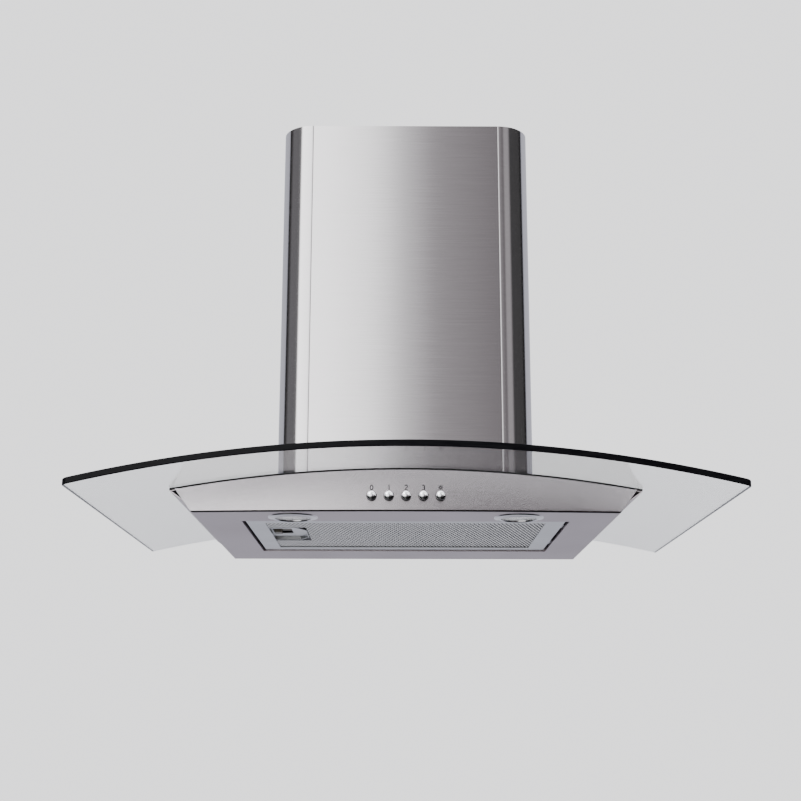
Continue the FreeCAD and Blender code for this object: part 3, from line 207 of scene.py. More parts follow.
def brushed_steel(name, dark, light, low, high, relief):
    """Stainless sheet with long level brush marks, which draw highlights out up and down."""
    finish = metal(name, 0.2, 0.8)
    marks = finish.noise((7, 3600, 3600), detail=5.0, roughness=0.75)
    scratches = finish.noise((22, 900, 900), detail=2.0, roughness=0.5)
    both = finish.add(marks, scratches, 0.3)
    finish.colour(both, (0.30, dark), (0.70, light))
    finish.rough(both, low, high)
    finish.bump(marks, relief, 0.01 * MM)
    finish.along(0, 0, 1)
    return finish.material


def satin_steel():
    """Underside sheet: finer and duller brushing, which draws highlights out front to back."""
    finish = metal("satin_stainless_sheet", 0.38, 0.35)
    marks = finish.noise((60, 2600, 2600), detail=4.0, roughness=0.65)
    cloud = finish.noise((14, 9, 14), detail=2.0)
    both = finish.add(marks, cloud, 0.4)
    finish.colour(both, (0.3, (0.60, 0.535, 0.56)), (0.7, (0.71, 0.64, 0.665)))
    finish.rough(both, 0.32, 0.46)
    finish.bump(marks, 0.08, 0.02 * MM)
    finish.along(0, 1, 0)
    return finish.material


def galvanised_steel():
    finish = metal("galvanised_sheet", 0.42)
    spangle = finish.cells((110, 110, 110), "Color")
    grey = finish.node("ShaderNodeRGBToBW")
    finish.link(spangle, grey.inputs["Color"])
    fine = finish.noise((900, 900, 900), detail=3.0)
    both = finish.add(grey.outputs["Val"], fine, 0.3)
    finish.colour(both, (0.2, (0.40, 0.42, 0.44)), (0.8, (0.62, 0.65, 0.67)))
    finish.rough(both, 0.32, 0.5, 0.2, 0.8)
    finish.bump(fine, 0.08, 0.05 * MM)
    return finish.material


def zinc_plate():
    finish = metal("zinc_plating", 0.3)
    cloud = finish.noise((350, 350, 350), detail=3.0)
    finish.colour(cloud, (0.35, (0.52, 0.52, 0.48)), (0.65, (0.68, 0.67, 0.60)))
    finish.rough(cloud, 0.22, 0.4)
    finish.bump(finish.noise((2400, 2400, 2400)), 0.06, 0.02 * MM)
    return finish.material


def polished_chrome():
    finish = metal("chrome_plating", 0.06)
    smudge = finish.noise((220, 220, 220), detail=3.0, roughness=0.6)
    finish.colour(smudge, (0.3, (0.86, 0.86, 0.88)), (0.7, (0.93, 0.93, 0.94)))
    finish.rough(smudge, 0.02, 0.07)
    return finish.material


def turned_chrome():
    """Duller, smudged plating of the lamp rings."""
    finish = metal("chrome_ring_plating", 0.12)
    smudge = finish.noise((300, 300, 900), detail=3.0, roughness=0.6)
    finish.colour(smudge, (0.3, (0.66, 0.65, 0.665)), (0.7, (0.76, 0.75, 0.765)))
    finish.rough(smudge, 0.06, 0.14)
    return finish.material


def bright_steel():
    finish = metal("turned_steel", 0.2)
    rings = finish.noise((5200, 40, 40), detail=2.0)
    finish.colour(rings, (0.35, (0.50, 0.50, 0.50)), (0.65, (0.70, 0.70, 0.69)))
    finish.rough(rings, 0.14, 0.3)
    finish.bump(rings, 0.12, 0.02 * MM)
    return finish.material


def mill_aluminium():
    finish = metal("rolled_aluminium", 0.3, 0.3)
    lines = finish.noise((30, 1800, 1800), detail=4.0, roughness=0.6)
    cloud = finish.noise((28, 28, 28), detail=2.0)
    both = finish.add(lines, cloud, 0.4)
    finish.colour(both, (0.3, (0.66, 0.67, 0.68)), (0.7, (0.80, 0.81, 0.82)))
    finish.rough(both, 0.24, 0.42)
    finish.bump(lines, 0.08, 0.02 * MM)
    finish.along(0, 1, 0)
    return finish.material


def mesh_aluminium():
    finish = Finish("expanded_aluminium", Metallic=0.45, Roughness=0.4)
    fleck = finish.noise((700, 700, 700), detail=3.0)
    finish.colour(fleck, (0.3, (0.80, 0.80, 0.815)), (0.7, (0.93, 0.93, 0.945)))
    finish.rough(fleck, 0.32, 0.55)
    finish.bump(fleck, 0.12, 0.05 * MM)
    return finish.material


def painted_shade_aluminium():
    """Painted shade: the layers inside the grease filter are coloured dark grey for the shadow behind
    the expanded mesh.
    """
    finish = Finish("inner_filter_painted_shade", Metallic=0.6, Roughness=0.55)
    weave = finish.noise((900, 900, 900), detail=3.0)
    finish.colour(weave, (0.3, (0.07, 0.07, 0.075)), (0.7, (0.15, 0.15, 0.16)))
    finish.rough(weave, 0.45, 0.7)
    finish.bump(weave, 0.3, 0.2 * MM)
    return finish.material


def reflector():
    finish = metal("anodised_reflector", 0.12)
    facets = finish.cells((260, 260, 260), "Distance")
    finish.colour(facets, (0.0, (0.86, 0.86, 0.87)), (1.0, (0.74, 0.74, 0.76)))
    finish.rough(facets, 0.08, 0.2, 0.0, 1.0)
    finish.bump(facets, 0.35, 0.3 * MM)
    return finish.material


def moulded_plastic(name, dark, light, low=0.38, high=0.55):
    finish = Finish(name, Roughness=0.45)
    texture = finish.noise((1400, 1400, 1400), detail=2.0)
    cloud = finish.noise((30, 30, 30), detail=2.0)
    both = finish.add(texture, cloud, 0.5)
    finish.colour(both, (0.3, dark), (0.7, light))
    finish.rough(both, low, high)
    finish.bump(texture, 0.22, 0.05 * MM)
    return finish.material


def motor_enamel():
    finish = Finish("motor_enamel_coat", Roughness=0.35, Coat_Weight=0.3, Coat_Roughness=0.2)
    peel = finish.noise((420, 420, 420), detail=2.0)
    finish.colour(peel, (0.3, (0.030, 0.033, 0.037)), (0.7, (0.055, 0.060, 0.066)))
    finish.rough(peel, 0.28, 0.42)
    finish.bump(peel, 0.12, 0.1 * MM)
    return finish.material


def rubber():
    finish = Finish("black_rubber_seal", Roughness=0.75, Specular_IOR_Level=0.1)
    fine = finish.noise((900, 900, 900), detail=3.0)
    finish.colour(fine, (0.3, (0.005, 0.005, 0.005)), (0.7, (0.012, 0.012, 0.013)))
    finish.rough(fine, 0.62, 0.85)
    finish.bump(fine, 0.2, 0.05 * MM)
    return finish.material


def clear_glass(name, tint):
    finish = Finish(name, Roughness=0.0, IOR=1.5, Transmission_Weight=1.0)
    smear = finish.noise((24, 24, 24), detail=2.0)
    low = tuple(0.985 * part for part in tint)
    finish.colour(smear, (0.3, low), (0.7, tint))
    return finish.material


def pressed_glass():
    """Half-frosted glass of the lamp lenses."""
    finish = Finish("lamp_pressed_glass", Roughness=0.15, IOR=1.5, Transmission_Weight=0.55)
    frost = finish.noise((1500, 1500, 1500), detail=2.0)
    finish.colour(frost, (0.3, (0.93, 0.94, 0.95)), (0.7, (0.98, 0.98, 0.99)))
    finish.rough(frost, 0.06, 0.16)
    finish.bump(frost, 0.08, 0.05 * MM)
    return finish.material


def painted_edge_reflection():
    """Painted dark reflection: the polished front edge of the canopy is coloured black for the dark
    room that the glass edge mirrors.
    """
    finish = Finish("glass_edge_painted_reflection", Roughness=0.12, Specular_IOR_Level=0.06)
    fine = finish.noise((60, 60, 500), detail=2.0)
    finish.colour(fine, (0.3, (0.002, 0.002, 0.003)), (0.7, (0.006, 0.006, 0.007)))
    finish.rough(fine, 0.08, 0.18)
    return finish.material


def printed_ink():
    finish = Finish("printed_ink_black", Roughness=0.6, Specular_IOR_Level=0.1)
    fine = finish.noise((2500, 2500, 2500), detail=2.0)
    finish.colour(fine, (0.3, (0.010, 0.009, 0.010)), (0.7, (0.022, 0.020, 0.022)))
    return finish.material


MATERIALS = {
    "brushed_stainless": brushed_steel(
        "brushed_stainless_sheet", (0.56, 0.545, 0.555), (0.68, 0.665, 0.68), 0.10, 0.18, 0.05),
    "satin_stainless": satin_steel(),
    "galvanised_steel": galvanised_steel(),
    "zinc_plate": zinc_plate(),
    "polished_chrome": polished_chrome(),
    "bright_steel": bright_steel(),
    "filter_aluminium": mill_aluminium(),
    "reflector": reflector(),
    "black_plastic": moulded_plastic("black_nylon", (0.016, 0.016, 0.018), (0.032, 0.032, 0.035)),
    "grey_plastic": moulded_plastic("grey_nylon", (0.20, 0.21, 0.22), (0.28, 0.29, 0.30)),
    "white_plastic": moulded_plastic(
        "white_moulding", (0.66, 0.66, 0.62), (0.76, 0.76, 0.73), 0.25, 0.4),
    "latch_plastic": moulded_plastic("latch_moulding", (0.055, 0.048, 0.036), (0.10, 0.09, 0.07)),
    "motor_enamel": motor_enamel(),
    "black_rubber": rubber(),
    "canopy_glass": clear_glass("canopy_float_glass", (0.955, 0.965, 0.975)),
    "lamp_glass": pressed_glass(),
    "bulb_glass": clear_glass("bulb_quartz", (0.98, 0.98, 0.97)),
}
# The fascia takes a darker copy of the brushed stainless colour: painted shade on its front face.
fascia_shaded_copy_material = brushed_steel(
    "brushed_fascia_sheet_painted_shade", (0.42, 0.395, 0.41), (0.48, 0.455, 0.47), 0.22, 0.28, 0.015)
# The turned-under fold is coloured near black: painted shadow for the gap between the fascia and the
# underside panel.
fold_shadow_paint_material = brushed_steel(
    "brushed_fascia_fold_painted_shadow", (0.030, 0.024, 0.024), (0.055, 0.046, 0.046), 0.3, 0.4, 0.05)
ring_material = turned_chrome()
inner_painted_shade_material = painted_shade_aluminium()
expanded_mesh_material = mesh_aluminium()
painted_reflection_material = painted_edge_reflection()
ink_material = printed_ink()

slot_of = {part["node"]: part["material_slot"] for part in frame["record"]["subparts"]}
for node_name, node_object in frame["nodes"].items():
    node_object.data.materials.clear()
    node_object.data.materials.append(MATERIALS[slot_of[node_name]])
frame["nodes"]["latch_recess"].data.materials[0] = MATERIALS["filter_aluminium"]
# The layers behind the expanded mesh take the dark grey painted shade, so the gaps of the mesh read
# dark.
for node_name in ("filter_media", "filter_mesh_upper"):
    frame["nodes"][node_name].data.materials[0] = inner_painted_shade_material


# ---- mesh helpers ------------------------------------------------------------------------

def piece_from(name, mesh, body, slot, material, *replaced):
    """Make an object of a finished bmesh, parent it to its body and hide the CAD nodes it replaces."""
    data = bpy.data.meshes.new(name)
    bmesh.ops.recalc_face_normals(mesh, faces=mesh.faces)
    if mesh.calc_volume(signed=True) < 0:
        bmesh.ops.reverse_faces(mesh, faces=mesh.faces)
    mesh.to_mesh(data)
    mesh.free()
    piece = bpy.data.objects.new(name, data)
    bpy.context.scene.collection.objects.link(piece)
    data.materials.append(material)
    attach(piece, body)
    if replaced:
        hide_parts(*replaced)
    return piece


def smooth_by_angle(piece, degrees=35):
    piece.data.shade_smooth()
    piece.data.set_sharp_from_angle(angle=math.radians(degrees))


def apply_modifier(piece, kind, **values):
    modifier = piece.modifiers.new(kind.lower(), kind)
    for name, value in values.items():
        setattr(modifier, name, value)
    graph = bpy.context.evaluated_depsgraph_get()
    graph.update()
    finished = bpy.data.meshes.new_from_object(piece.evaluated_get(graph))
    piece.modifiers.clear()
    piece.data = finished


def arc_points(centre, radius, start, end, steps):
    """Points of an arc in plan, from one angle to the other, both ends included."""
    return [
        (centre[0] + radius * math.cos(start + (end - start) * step / steps),
         centre[1] + radius * math.sin(start + (end - start) * step / steps))
        for step in range(steps + 1)
    ]


def loft(mesh, rings, closed=True):
    """Join rings of equal length with faces; returns the rings' vertices."""
    made = [[mesh.verts.new(point) for point in ring] for ring in rings]
    for low, high in zip(made, made[1:]):
        count = len(low)
        for index in range(count if closed else count - 1):
            after = (index + 1) % count
            mesh.faces.new((low[index], low[after], high[after], high[index]))
    return made


def capped_loft(mesh, rings):
    """Join rings and close both ends."""
    made = loft(mesh, rings)
    mesh.faces.new(made[0])
    mesh.faces.new(made[-1][::-1])


def lathe(name, profile, centre, axis, body, slot, material, *replaced, steps=96):
    """A turned piece: profile pairs are radius and distance along the axis."""
    mesh = bmesh.new()
    turn = axis.to_track_quat("Z", "Y").to_matrix()
    rings = []
    for radius, along in profile:
        ring = []
        for step in range(steps):
            angle = math.tau * step / steps
            local = Vector((radius * math.cos(angle), radius * math.sin(angle), along))
            ring.append(centre + turn @ local)
        rings.append(ring)
    loft(mesh, rings)
    bmesh.ops.remove_doubles(mesh, verts=mesh.verts, dist=MERGE_DISTANCE)
    piece = piece_from(name, mesh, body, slot, material, *replaced)
    smooth_by_angle(piece)
    return piece


# ---- glass canopy ------------------------------------------------------------------------

TIP_STEPS = 10
SIDE_STEPS = 4
FRONT_STEPS = 120
GLASS_COLUMN = 5.0 * MM
GLASS_PAINTED_EDGE_BAND = 5.0 * MM
FRONT_FACING = -0.3
SHARP_FOLD_DEGREES = 12


def front_of_glass(x):
    """Distance of the glass's front edge from the wall plane."""
    inner = glass_half - GLASS_TIP_RADIUS
    if abs(x) > inner:
        across = min(abs(x) - inner, GLASS_TIP_RADIUS)
        return glass_side_depth - GLASS_TIP_RADIUS + math.sqrt(GLASS_TIP_RADIUS ** 2 - across ** 2)
    radius = arc_radius(2 * inner, GLASS_BULGE)
    return glass_side_depth + GLASS_BULGE - radius + math.sqrt(radius * radius - x * x)


def glass_outline():
    """Plan outline of the glass, with the notch that the blower box stands in."""
    inner = glass_half - GLASS_TIP_RADIUS
    notch = box_outer_half + GLASS_NOTCH_GAP
    notch_depth = box_front + GLASS_NOTCH_GAP
    tip = [inner + GLASS_TIP_RADIUS * math.cos(0.5 * math.pi * step / TIP_STEPS)
           for step in range(TIP_STEPS + 1)]
    side = [step * glass_side_depth / SIDE_STEPS for step in range(1, SIDE_STEPS)]
    front = [-inner + 2 * inner * step / FRONT_STEPS for step in range(1, FRONT_STEPS)]
    outline = [(-notch, 0.0), (-glass_half, 0.0)]
    outline += [(-glass_half, -y) for y in side]
    outline += [(-x, -front_of_glass(-x)) for x in tip]
    outline += [(x, -front_of_glass(x)) for x in front]
    outline += [(x, -front_of_glass(x)) for x in tip[::-1]]
    outline += [(glass_half, -y) for y in side[::-1]]
    outline += [(glass_half, 0.0), (notch, 0.0), (notch, -notch_depth), (-notch, -notch_depth)]
    return outline


def make_glass():
    """A flat plan, cut into columns, bent over the cylinder and given its thickness."""
    mesh = bmesh.new()
    rim = [mesh.verts.new((x, y, 0.0)) for x, y in glass_outline()]
    mesh.faces.new(rim)
    columns = int(glass_half / GLASS_COLUMN)
    for step in range(-columns, columns + 1):
        bmesh.ops.bisect_plane(mesh, geom=mesh.verts[:] + mesh.edges[:] + mesh.faces[:],
                               plane_co=(step * GLASS_COLUMN, 0, 0), plane_no=(1, 0, 0),
                               dist=CUT_TOLERANCE)
    lower = mesh.verts[:]
    rim_edges = [edge for edge in mesh.edges if edge.is_boundary]
    above = bmesh.ops.duplicate(mesh, geom=lower + mesh.edges[:] + mesh.faces[:])["vert_map"]
    for vertex in lower:
        vertex.co.z = bend_height(vertex.co.x)
        above[vertex].co.z = bend_height(vertex.co.x, GLASS_THICKNESS)
    for edge in rim_edges:
        first, last = edge.verts
        mesh.faces.new((first, last, above[last], above[first]))
    piece = piece_from("canopy_glass_sheet", mesh, "root", "canopy_glass",
                       MATERIALS["canopy_glass"], "glass_canopy")
    apply_modifier(piece, "BEVEL", width=GLASS_EDGE_ROUNDING, segments=3, limit_method="ANGLE",
                   angle_limit=math.radians(60), harden_normals=False)
    # Front-facing faces of the rounded front edge take the black second material: a painted dark
    # reflection in the glass edge.
    piece.data.materials.append(painted_reflection_material)
    front_start = GLASS_PAINTED_EDGE_BAND - glass_side_depth
    for face in piece.data.polygons:
        if face.normal.y < FRONT_FACING and face.center.y < front_start:
            face.material_index = 1
    smooth_by_angle(piece, SHARP_FOLD_DEGREES)
    piece.visible_shadow = False


# ---- chimney cover -----------------------------------------------------------------------

GROOVE_WIDTH = 0.3 * MM
GROOVE_DEPTH = 0.05 * MM
COVER_CORNER_STEPS = 40
COVER_LEVELS = 12
COVER_FOOT_GAP = 0.5 * MM


def u_section(inset):
    """Open outline of the folded U in plan, from one returned edge round to the other."""
    half = cover_high.x - inset
    front = cover_low.y + inset
    radius = COVER_CORNER_RADIUS - inset
    back = -inset
    hook = cover_high.x - COVER_RETURN
    points = [(-hook, back), (-half, back)]
    points += [(-half, back + (front + radius - back) * part / 4) for part in (1, 2, 3)]
    dip = GROOVE_DEPTH if inset == 0.0 else 0.0
    points += arc_points((radius - half, front + radius), radius, math.pi, 1.5 * math.pi,
                         COVER_CORNER_STEPS)
    points += [(radius - half + GROOVE_WIDTH * part, front + dip * (part == 1)) for part in (1, 2)]
    points += [(half - radius - GROOVE_WIDTH * part, front + dip * (part == 1)) for part in (2, 1)]
    points += arc_points((half - radius, front + radius), radius, 1.5 * math.pi, 2 * math.pi,
                         COVER_CORNER_STEPS)
    points += [(half, back + (front + radius - back) * part / 4) for part in (3, 2, 1)]
    points += [(half, back), (hook, back)]
    return points


def make_chimney_cover():
    """The folded cover: its foot follows the glass, and fine grooves mark where the folds begin."""
    mesh = bmesh.new()
    foot = GLASS_THICKNESS + COVER_FOOT_GAP
    outer = u_section(0.0)
    inner = u_section(SHEET)
    section = outer + inner[::-1]
    rings = []
    for level in range(COVER_LEVELS + 1):
        ring = []
        for x, y in section:
            low = bend_height(x, foot)
            ring.append((x, y, low + (cover_high.z - low) * level / COVER_LEVELS))
        rings.append(ring)
    made = loft(mesh, rings)
    for ring in (made[0], made[-1]):
        count = len(outer)
        for index in range(count - 1):
            mesh.faces.new((ring[index], ring[index + 1],
                            ring[2 * count - 2 - index], ring[2 * count - 1 - index]))
    piece = piece_from("chimney_cover_sheet", mesh, "root", "brushed_stainless",
                       MATERIALS["brushed_stainless"], "chimney_cover")
    smooth_by_angle(piece, SHARP_FOLD_DEGREES)


# ---- expanded metal of the grease filter -------------------------------------------------

STRAND_WIDTH = 1.0 * MM
STRAND_THICKNESS = 0.3 * MM
MESH_LONG_WAY = 13.5 * MM
MESH_SHORT_WAY = 4.0 * MM
MESH_BORDER = 15.0 * MM


recess_low, recess_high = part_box("latch_recess")


def in_latch_recess(x, y):
    reach = STRAND_WIDTH
    return x < recess_high.x + reach and recess_low.y - reach < y < recess_high.y + reach


def expanded_sheet(mesh, low, high):
    """Strands that run front to back in a zigzag and touch their neighbours at the knuckles."""
    half_short, half_long = MESH_SHORT_WAY / 2, MESH_LONG_WAY / 2
    rows = int((high.x - low.x) / half_short)
    steps = int((high.y - low.y) / half_long)
    half_height = STRAND_THICKNESS / 2
    middle = low.z + half_height
    for row in range(rows):
        run = []
        for step in range(steps + 1):
            swing = half_short / 2 if (step + row) % 2 else -half_short / 2
            x = low.x + (row + 0.5) * half_short + swing
            y = low.y + step * half_long
            if in_latch_recess(x, y):
                add_strand(mesh, run, half_height)
                run = []
            else:
                run.append((x, y, middle))
        add_strand(mesh, run, half_height)


def add_strand(mesh, run, half_height):
    """One flat strand set on a slant, as the metal is left when it is slit and pulled open."""
    if len(run) < 2:
        return
    half = STRAND_WIDTH / 2
    corners = ((-half, -half_height), (half * 0.6, -half_height * 0.3),
               (half, half_height), (-half * 0.6, half_height * 0.3))
    rings = [[(x + across, y, z + up) for across, up in corners] for x, y, z in run]
    capped_loft(mesh, rings)


def make_filter_mesh():
    low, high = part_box("filter_mesh_lower")
    mesh = bmesh.new()
    border = Vector((MESH_BORDER, MESH_BORDER, 0))
    expanded_sheet(mesh, low + border, high - border)
    piece_from("expanded_mesh_lower", mesh, "filter", "filter_aluminium",
               expanded_mesh_material, "filter_mesh_lower")


# ---- front fascia ------------------------------------------------------------------------

FASCIA_THICKNESS = 1.0 * MM
FASCIA_FLARE_HEIGHT = 22.5 * MM
FASCIA_FOLD = 1.5 * MM
FASCIA_FOLD_GAP = 0.2 * MM
FASCIA_LIP = 10.0 * MM
FASCIA_LEVELS = (4.0 * MM, 8.0 * MM, 15.0 * MM, FASCIA_FLARE_HEIGHT)
FASCIA_COLUMNS = 110
GASKET_THICKNESS = 2.0 * MM
BUTTON_GAP = 0.3 * MM
BORE_DEPTH = 20.0 * MM
BUTTON_NODES = ("button_off", "button_speed_1", "button_speed_2", "button_speed_3", "button_light")
fascia_half = fascia_high.x
underside_half = panel_high.x
underside_z = panel_low.z


def front_of_fascia(x):
    """How far in front of the wall plane the fascia's face is."""
    radius = arc_radius(2 * fascia_half, FASCIA_BULGE)
    return -fascia_low.y - radius + math.sqrt(radius * radius - x * x)


def fascia_reach(height):
    """Half the fascia's width at a height above the underside."""
    share = min(height / FASCIA_FLARE_HEIGHT, 1.0)
    return underside_half + (fascia_half - underside_half) * share


def make_fascia():
    """The bowed face with its rounded bottom fold and the lip that lies on the underside panel."""
    turns = [math.radians(angle) for angle in range(0, 91, 10)]
    fold = [(FASCIA_FOLD * (1 - math.cos(turn)), FASCIA_FOLD * (1 - math.sin(turn))) for turn in turns]
    lip_end = FASCIA_LIP + FASCIA_THICKNESS
    back_of_fold = FASCIA_FOLD + FASCIA_FOLD_GAP
    section = [(0.0, level) for level in reversed(FASCIA_LEVELS)] + fold
    section += [(back_of_fold, 0.0), (back_of_fold, SHEET), (lip_end, SHEET), (lip_end, 2 * SHEET)]
    section += [(FASCIA_THICKNESS, 2 * SHEET)]
    section += [(FASCIA_THICKNESS, level) for level in FASCIA_LEVELS]
    rings = []
    mesh = bmesh.new()
    for column in range(FASCIA_COLUMNS + 1):
        across = 2 * column / FASCIA_COLUMNS - 1
        top_x = across * fascia_half
        top = bend_height(top_x, -GASKET_THICKNESS)
        ring = [(top_x, -front_of_fascia(top_x), top)]
        for behind, height in section:
            x = across * fascia_reach(height)
            ring.append((x, -front_of_fascia(x) + behind, underside_z + height))
        ring.append((top_x, -front_of_fascia(top_x) + FASCIA_THICKNESS, top))
        rings.append(ring)
    capped_loft(mesh, rings)
    piece = piece_from("fascia_panel", mesh, "root", "brushed_stainless",
                       fascia_shaded_copy_material, "front_fascia")
    bore_buttons(piece)
    piece.data.materials.clear()
    piece.data.materials.append(fascia_shaded_copy_material)
    piece.data.materials.append(fold_shadow_paint_material)
    # Faces of the fold that turn under take the near-black second material: painted shadow along the
    # bottom of the fascia.
    fold_top = underside_z + FASCIA_FOLD
    for face in piece.data.polygons:
        under_fold_painted_shadow = face.normal.y < -0.05 and face.normal.z < -0.2
        face.material_index = 1 if under_fold_painted_shadow and face.center.z < fold_top else 0
    smooth_by_angle(piece, 50)


def bore_buttons(piece):
    cutter_mesh = bmesh.new()
    radius = BUTTON_RADIUS + BUTTON_GAP
    for node in BUTTON_NODES:
        low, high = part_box(node)
        centre = Vector(((low.x + high.x) / 2, low.y + BORE_DEPTH / 4, (low.z + high.z) / 2))
        turn = Matrix.Translation(centre) @ Matrix.Rotation(math.pi / 2, 4, "X")
        bmesh.ops.create_cone(cutter_mesh, cap_ends=True, segments=48, radius1=radius,
                              radius2=radius, depth=BORE_DEPTH, matrix=turn)
    data = bpy.data.meshes.new("button_bores")
    cutter_mesh.to_mesh(data)
    cutter_mesh.free()
    cutter = bpy.data.objects.new("button_bores", data)
    bpy.context.scene.collection.objects.link(cutter)
    apply_modifier(piece, "BOOLEAN", object=cutter, operation="DIFFERENCE", solver="MANIFOLD")
    bpy.data.objects.remove(cutter)


# ---- printed marks over the buttons ------------------------------------------------------

MARK_HEIGHT = 4.8 * MM
MARK_LINE = 0.85 * MM
MARK_RISE = 8.0 * MM
MARK_FILM = 0.05 * MM
MARKS = ("0", "1", "2", "3", "light")


def ellipse(centre, across, up, start=0.0, end=360.0, steps=20):
    turns = [math.radians(start + (end - start) * step / steps) for step in range(steps + 1)]
    return [(centre[0] + across * math.cos(turn), centre[1] + up * math.sin(turn)) for turn in turns]


def mark_strokes(kind):
    """Strokes of a mark in a box one unit high, about its middle."""
    if kind == "0":
        return [ellipse((0, 0), 0.27, 0.46)]
    if kind == "1":
        return [[(-0.16, 0.28), (0.04, 0.46), (0.04, -0.46)]]
    if kind == "2":
        return [ellipse((0, 0.20), 0.25, 0.26, 165, -35, 12) + [(-0.26, -0.46), (0.28, -0.46)]]
    if kind == "3":
        return [ellipse((0, 0.22), 0.23, 0.24, 150, -90, 12),
                ellipse((0, -0.22), 0.26, 0.24, 90, -150, 12)]
    rays = []
    for turn in range(8):
        angle = math.radians(45 * turn)
        rays.append([(reach * math.cos(angle), reach * math.sin(angle)) for reach in (0.36, 0.52)])
    return [ellipse((0, 0), 0.21, 0.21), *rays]


def make_marks():
    """Thin printed strips on the fascia, one mark over each button."""
    for kind, node in zip(MARKS, BUTTON_NODES):
        low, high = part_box(node)
        centre = Vector(((low.x + high.x) / 2, (low.z + high.z) / 2 + MARK_RISE))
        mesh = bmesh.new()
        for stroke in mark_strokes(kind):
            add_flat_stroke(mesh, [centre + Vector(point) * MARK_HEIGHT for point in stroke])
        piece_from(f"mark_{kind}", mesh, "root", None, ink_material)


def add_flat_stroke(mesh, points):
    """A strip of ink through points that give X and height, bent to the bow of the fascia."""
    rings = []
    for index, point in enumerate(points):
        before = points[max(index - 1, 0)]
        after = points[min(index + 1, len(points) - 1)]
        direction = (after - before).normalized()
        side = Vector((-direction.y, direction.x)) * MARK_LINE / 2
        edges = (point - side, point + side)
        ring = [(edge.x, -front_of_fascia(edge.x), edge.y) for edge in edges]
        ring += [(edge.x, -front_of_fascia(edge.x) - MARK_FILM, edge.y) for edge in edges[::-1]]
        rings.append(ring)
    capped_loft(mesh, rings)


# ---- latch spring ------------------------------------------------------------------------

SPRING_WIRE = 0.25 * MM
SPRING_PITCH = 1.4 * MM
SPRING_STEPS_PER_TURN = 28
WIRE_SIDES = 8


def make_latch_spring():
    """A coil of wire at one fixed length in the latch spring's box; the real spring shortens towards
    its post as the latch is drawn back.
    """
    low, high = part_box("latch_spring")
    centre = Vector((0, (low.y + high.y) / 2, (low.z + high.z) / 2))
    coil = (high.y - low.y) / 2 - SPRING_WIRE
    start, end = low.x + SPRING_WIRE, high.x - SPRING_WIRE
    turns = (end - start) / SPRING_PITCH
    steps = int(turns * SPRING_STEPS_PER_TURN)
    around = [math.tau * part / WIRE_SIDES for part in range(WIRE_SIDES)]
    rings = []
    for step in range(steps + 1):
        angle = math.tau * turns * step / steps
        outward = Vector((0, math.cos(angle), math.sin(angle)))
        along = Vector((1, 0, 0))
        middle = centre + along * (start + (end - start) * step / steps) + outward * coil
        rings.append([middle + (outward * math.cos(turn) + along * math.sin(turn)) * SPRING_WIRE
                      for turn in around])
    mesh = bmesh.new()
    capped_loft(mesh, rings)
    slot = slot_of["latch_spring"]
    spring = piece_from("latch_coil", mesh, "filter", slot, MATERIALS[slot], "latch_spring")
    smooth_by_angle(spring, 60)
    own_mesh(spring)


# ---- buttons -----------------------------------------------------------------------------

CAP_RADIUS = 4.3 * MM
DOME_DEPTH = 2.4 * MM
FLANGE_START = 7.9 * MM
FLANGE_THICKNESS = 1.0 * MM
FLANGE_ROUNDING = 0.2 * MM
STEM_RADIUS = 2.5 * MM
STEM_ROUNDING = 0.4 * MM


def make_buttons():
    """Domed chrome caps; the flanges and stems behind them are coloured black as painted shade, so a
    dark ring shows round each cap.
    """
    turns = [math.radians(angle) for angle in range(0, 91, 5)]
    dome = [(CAP_RADIUS * math.sin(turn), DOME_DEPTH * (1 - math.cos(turn))) for turn in turns]
    for node in BUTTON_NODES:
        low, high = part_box(node)
        centre = Vector(((low.x + high.x) / 2, low.y, (low.z + high.z) / 2))
        flange = (high.x - low.x) / 2
        flange_end = FLANGE_START + FLANGE_THICKNESS
        length = high.y - low.y
        profile = [
            *dome, (CAP_RADIUS, FLANGE_START - FLANGE_ROUNDING),
            (flange - FLANGE_ROUNDING, FLANGE_START), (flange, FLANGE_START + FLANGE_ROUNDING),
            (flange, flange_end - FLANGE_ROUNDING), (flange - FLANGE_ROUNDING, flange_end),
            (STEM_RADIUS, flange_end), (STEM_RADIUS, length - STEM_ROUNDING),
            (STEM_RADIUS - STEM_ROUNDING, length), (0.0, length),
        ]
        cap = lathe(f"{node}_cap", profile, centre, Vector((0, 1, 0)), node, "polished_chrome",
                    MATERIALS["polished_chrome"], node, steps=64)
        # Everything behind the dome is black: painted shade for the gap between the cap and its bore.
        cap.data.materials.append(MATERIALS["black_plastic"])
        for face in cap.data.polygons:
            if face.center.y > low.y + DOME_DEPTH + 0.1 * MM:
                face.material_index = 1


# ---- lamps -------------------------------------------------------------------------------

BEZEL_RADIUS = 24.0 * MM
BARREL_RADIUS = 21.0 * MM
BARREL_WALL = 1.0 * MM
BEZEL_FLOOR = 1.6 * MM
LENS_RADIUS = 16.7 * MM
LENS_GAP = 0.3 * MM
# Millimetres out from the inner radius, and in from the rim, each with the height over the low point.
BEZEL_BEAD = ((0.0, 0.9), (0.15, 0.45), (0.5, 0.12), (1.0, 0.0), (1.6, 0.1), (2.2, 0.45), (4.6, 0.95))
BEZEL_RIM = ((1.2, 1.1), (0.6, 1.25), (0.2, 1.6))
LENS_ROWS = 34
LENS_STEPS = 144
LENS_SEAT = 1.7 * MM
LENS_FLANGE = 3.0 * MM
RIB_FADE = 1.5 * MM
RIB_PITCH = 2.4 * MM
RIB_HEIGHT = 0.55 * MM
CROSS_RIB_SHARE = 0.35
LENS_DOME = 0.8 * MM


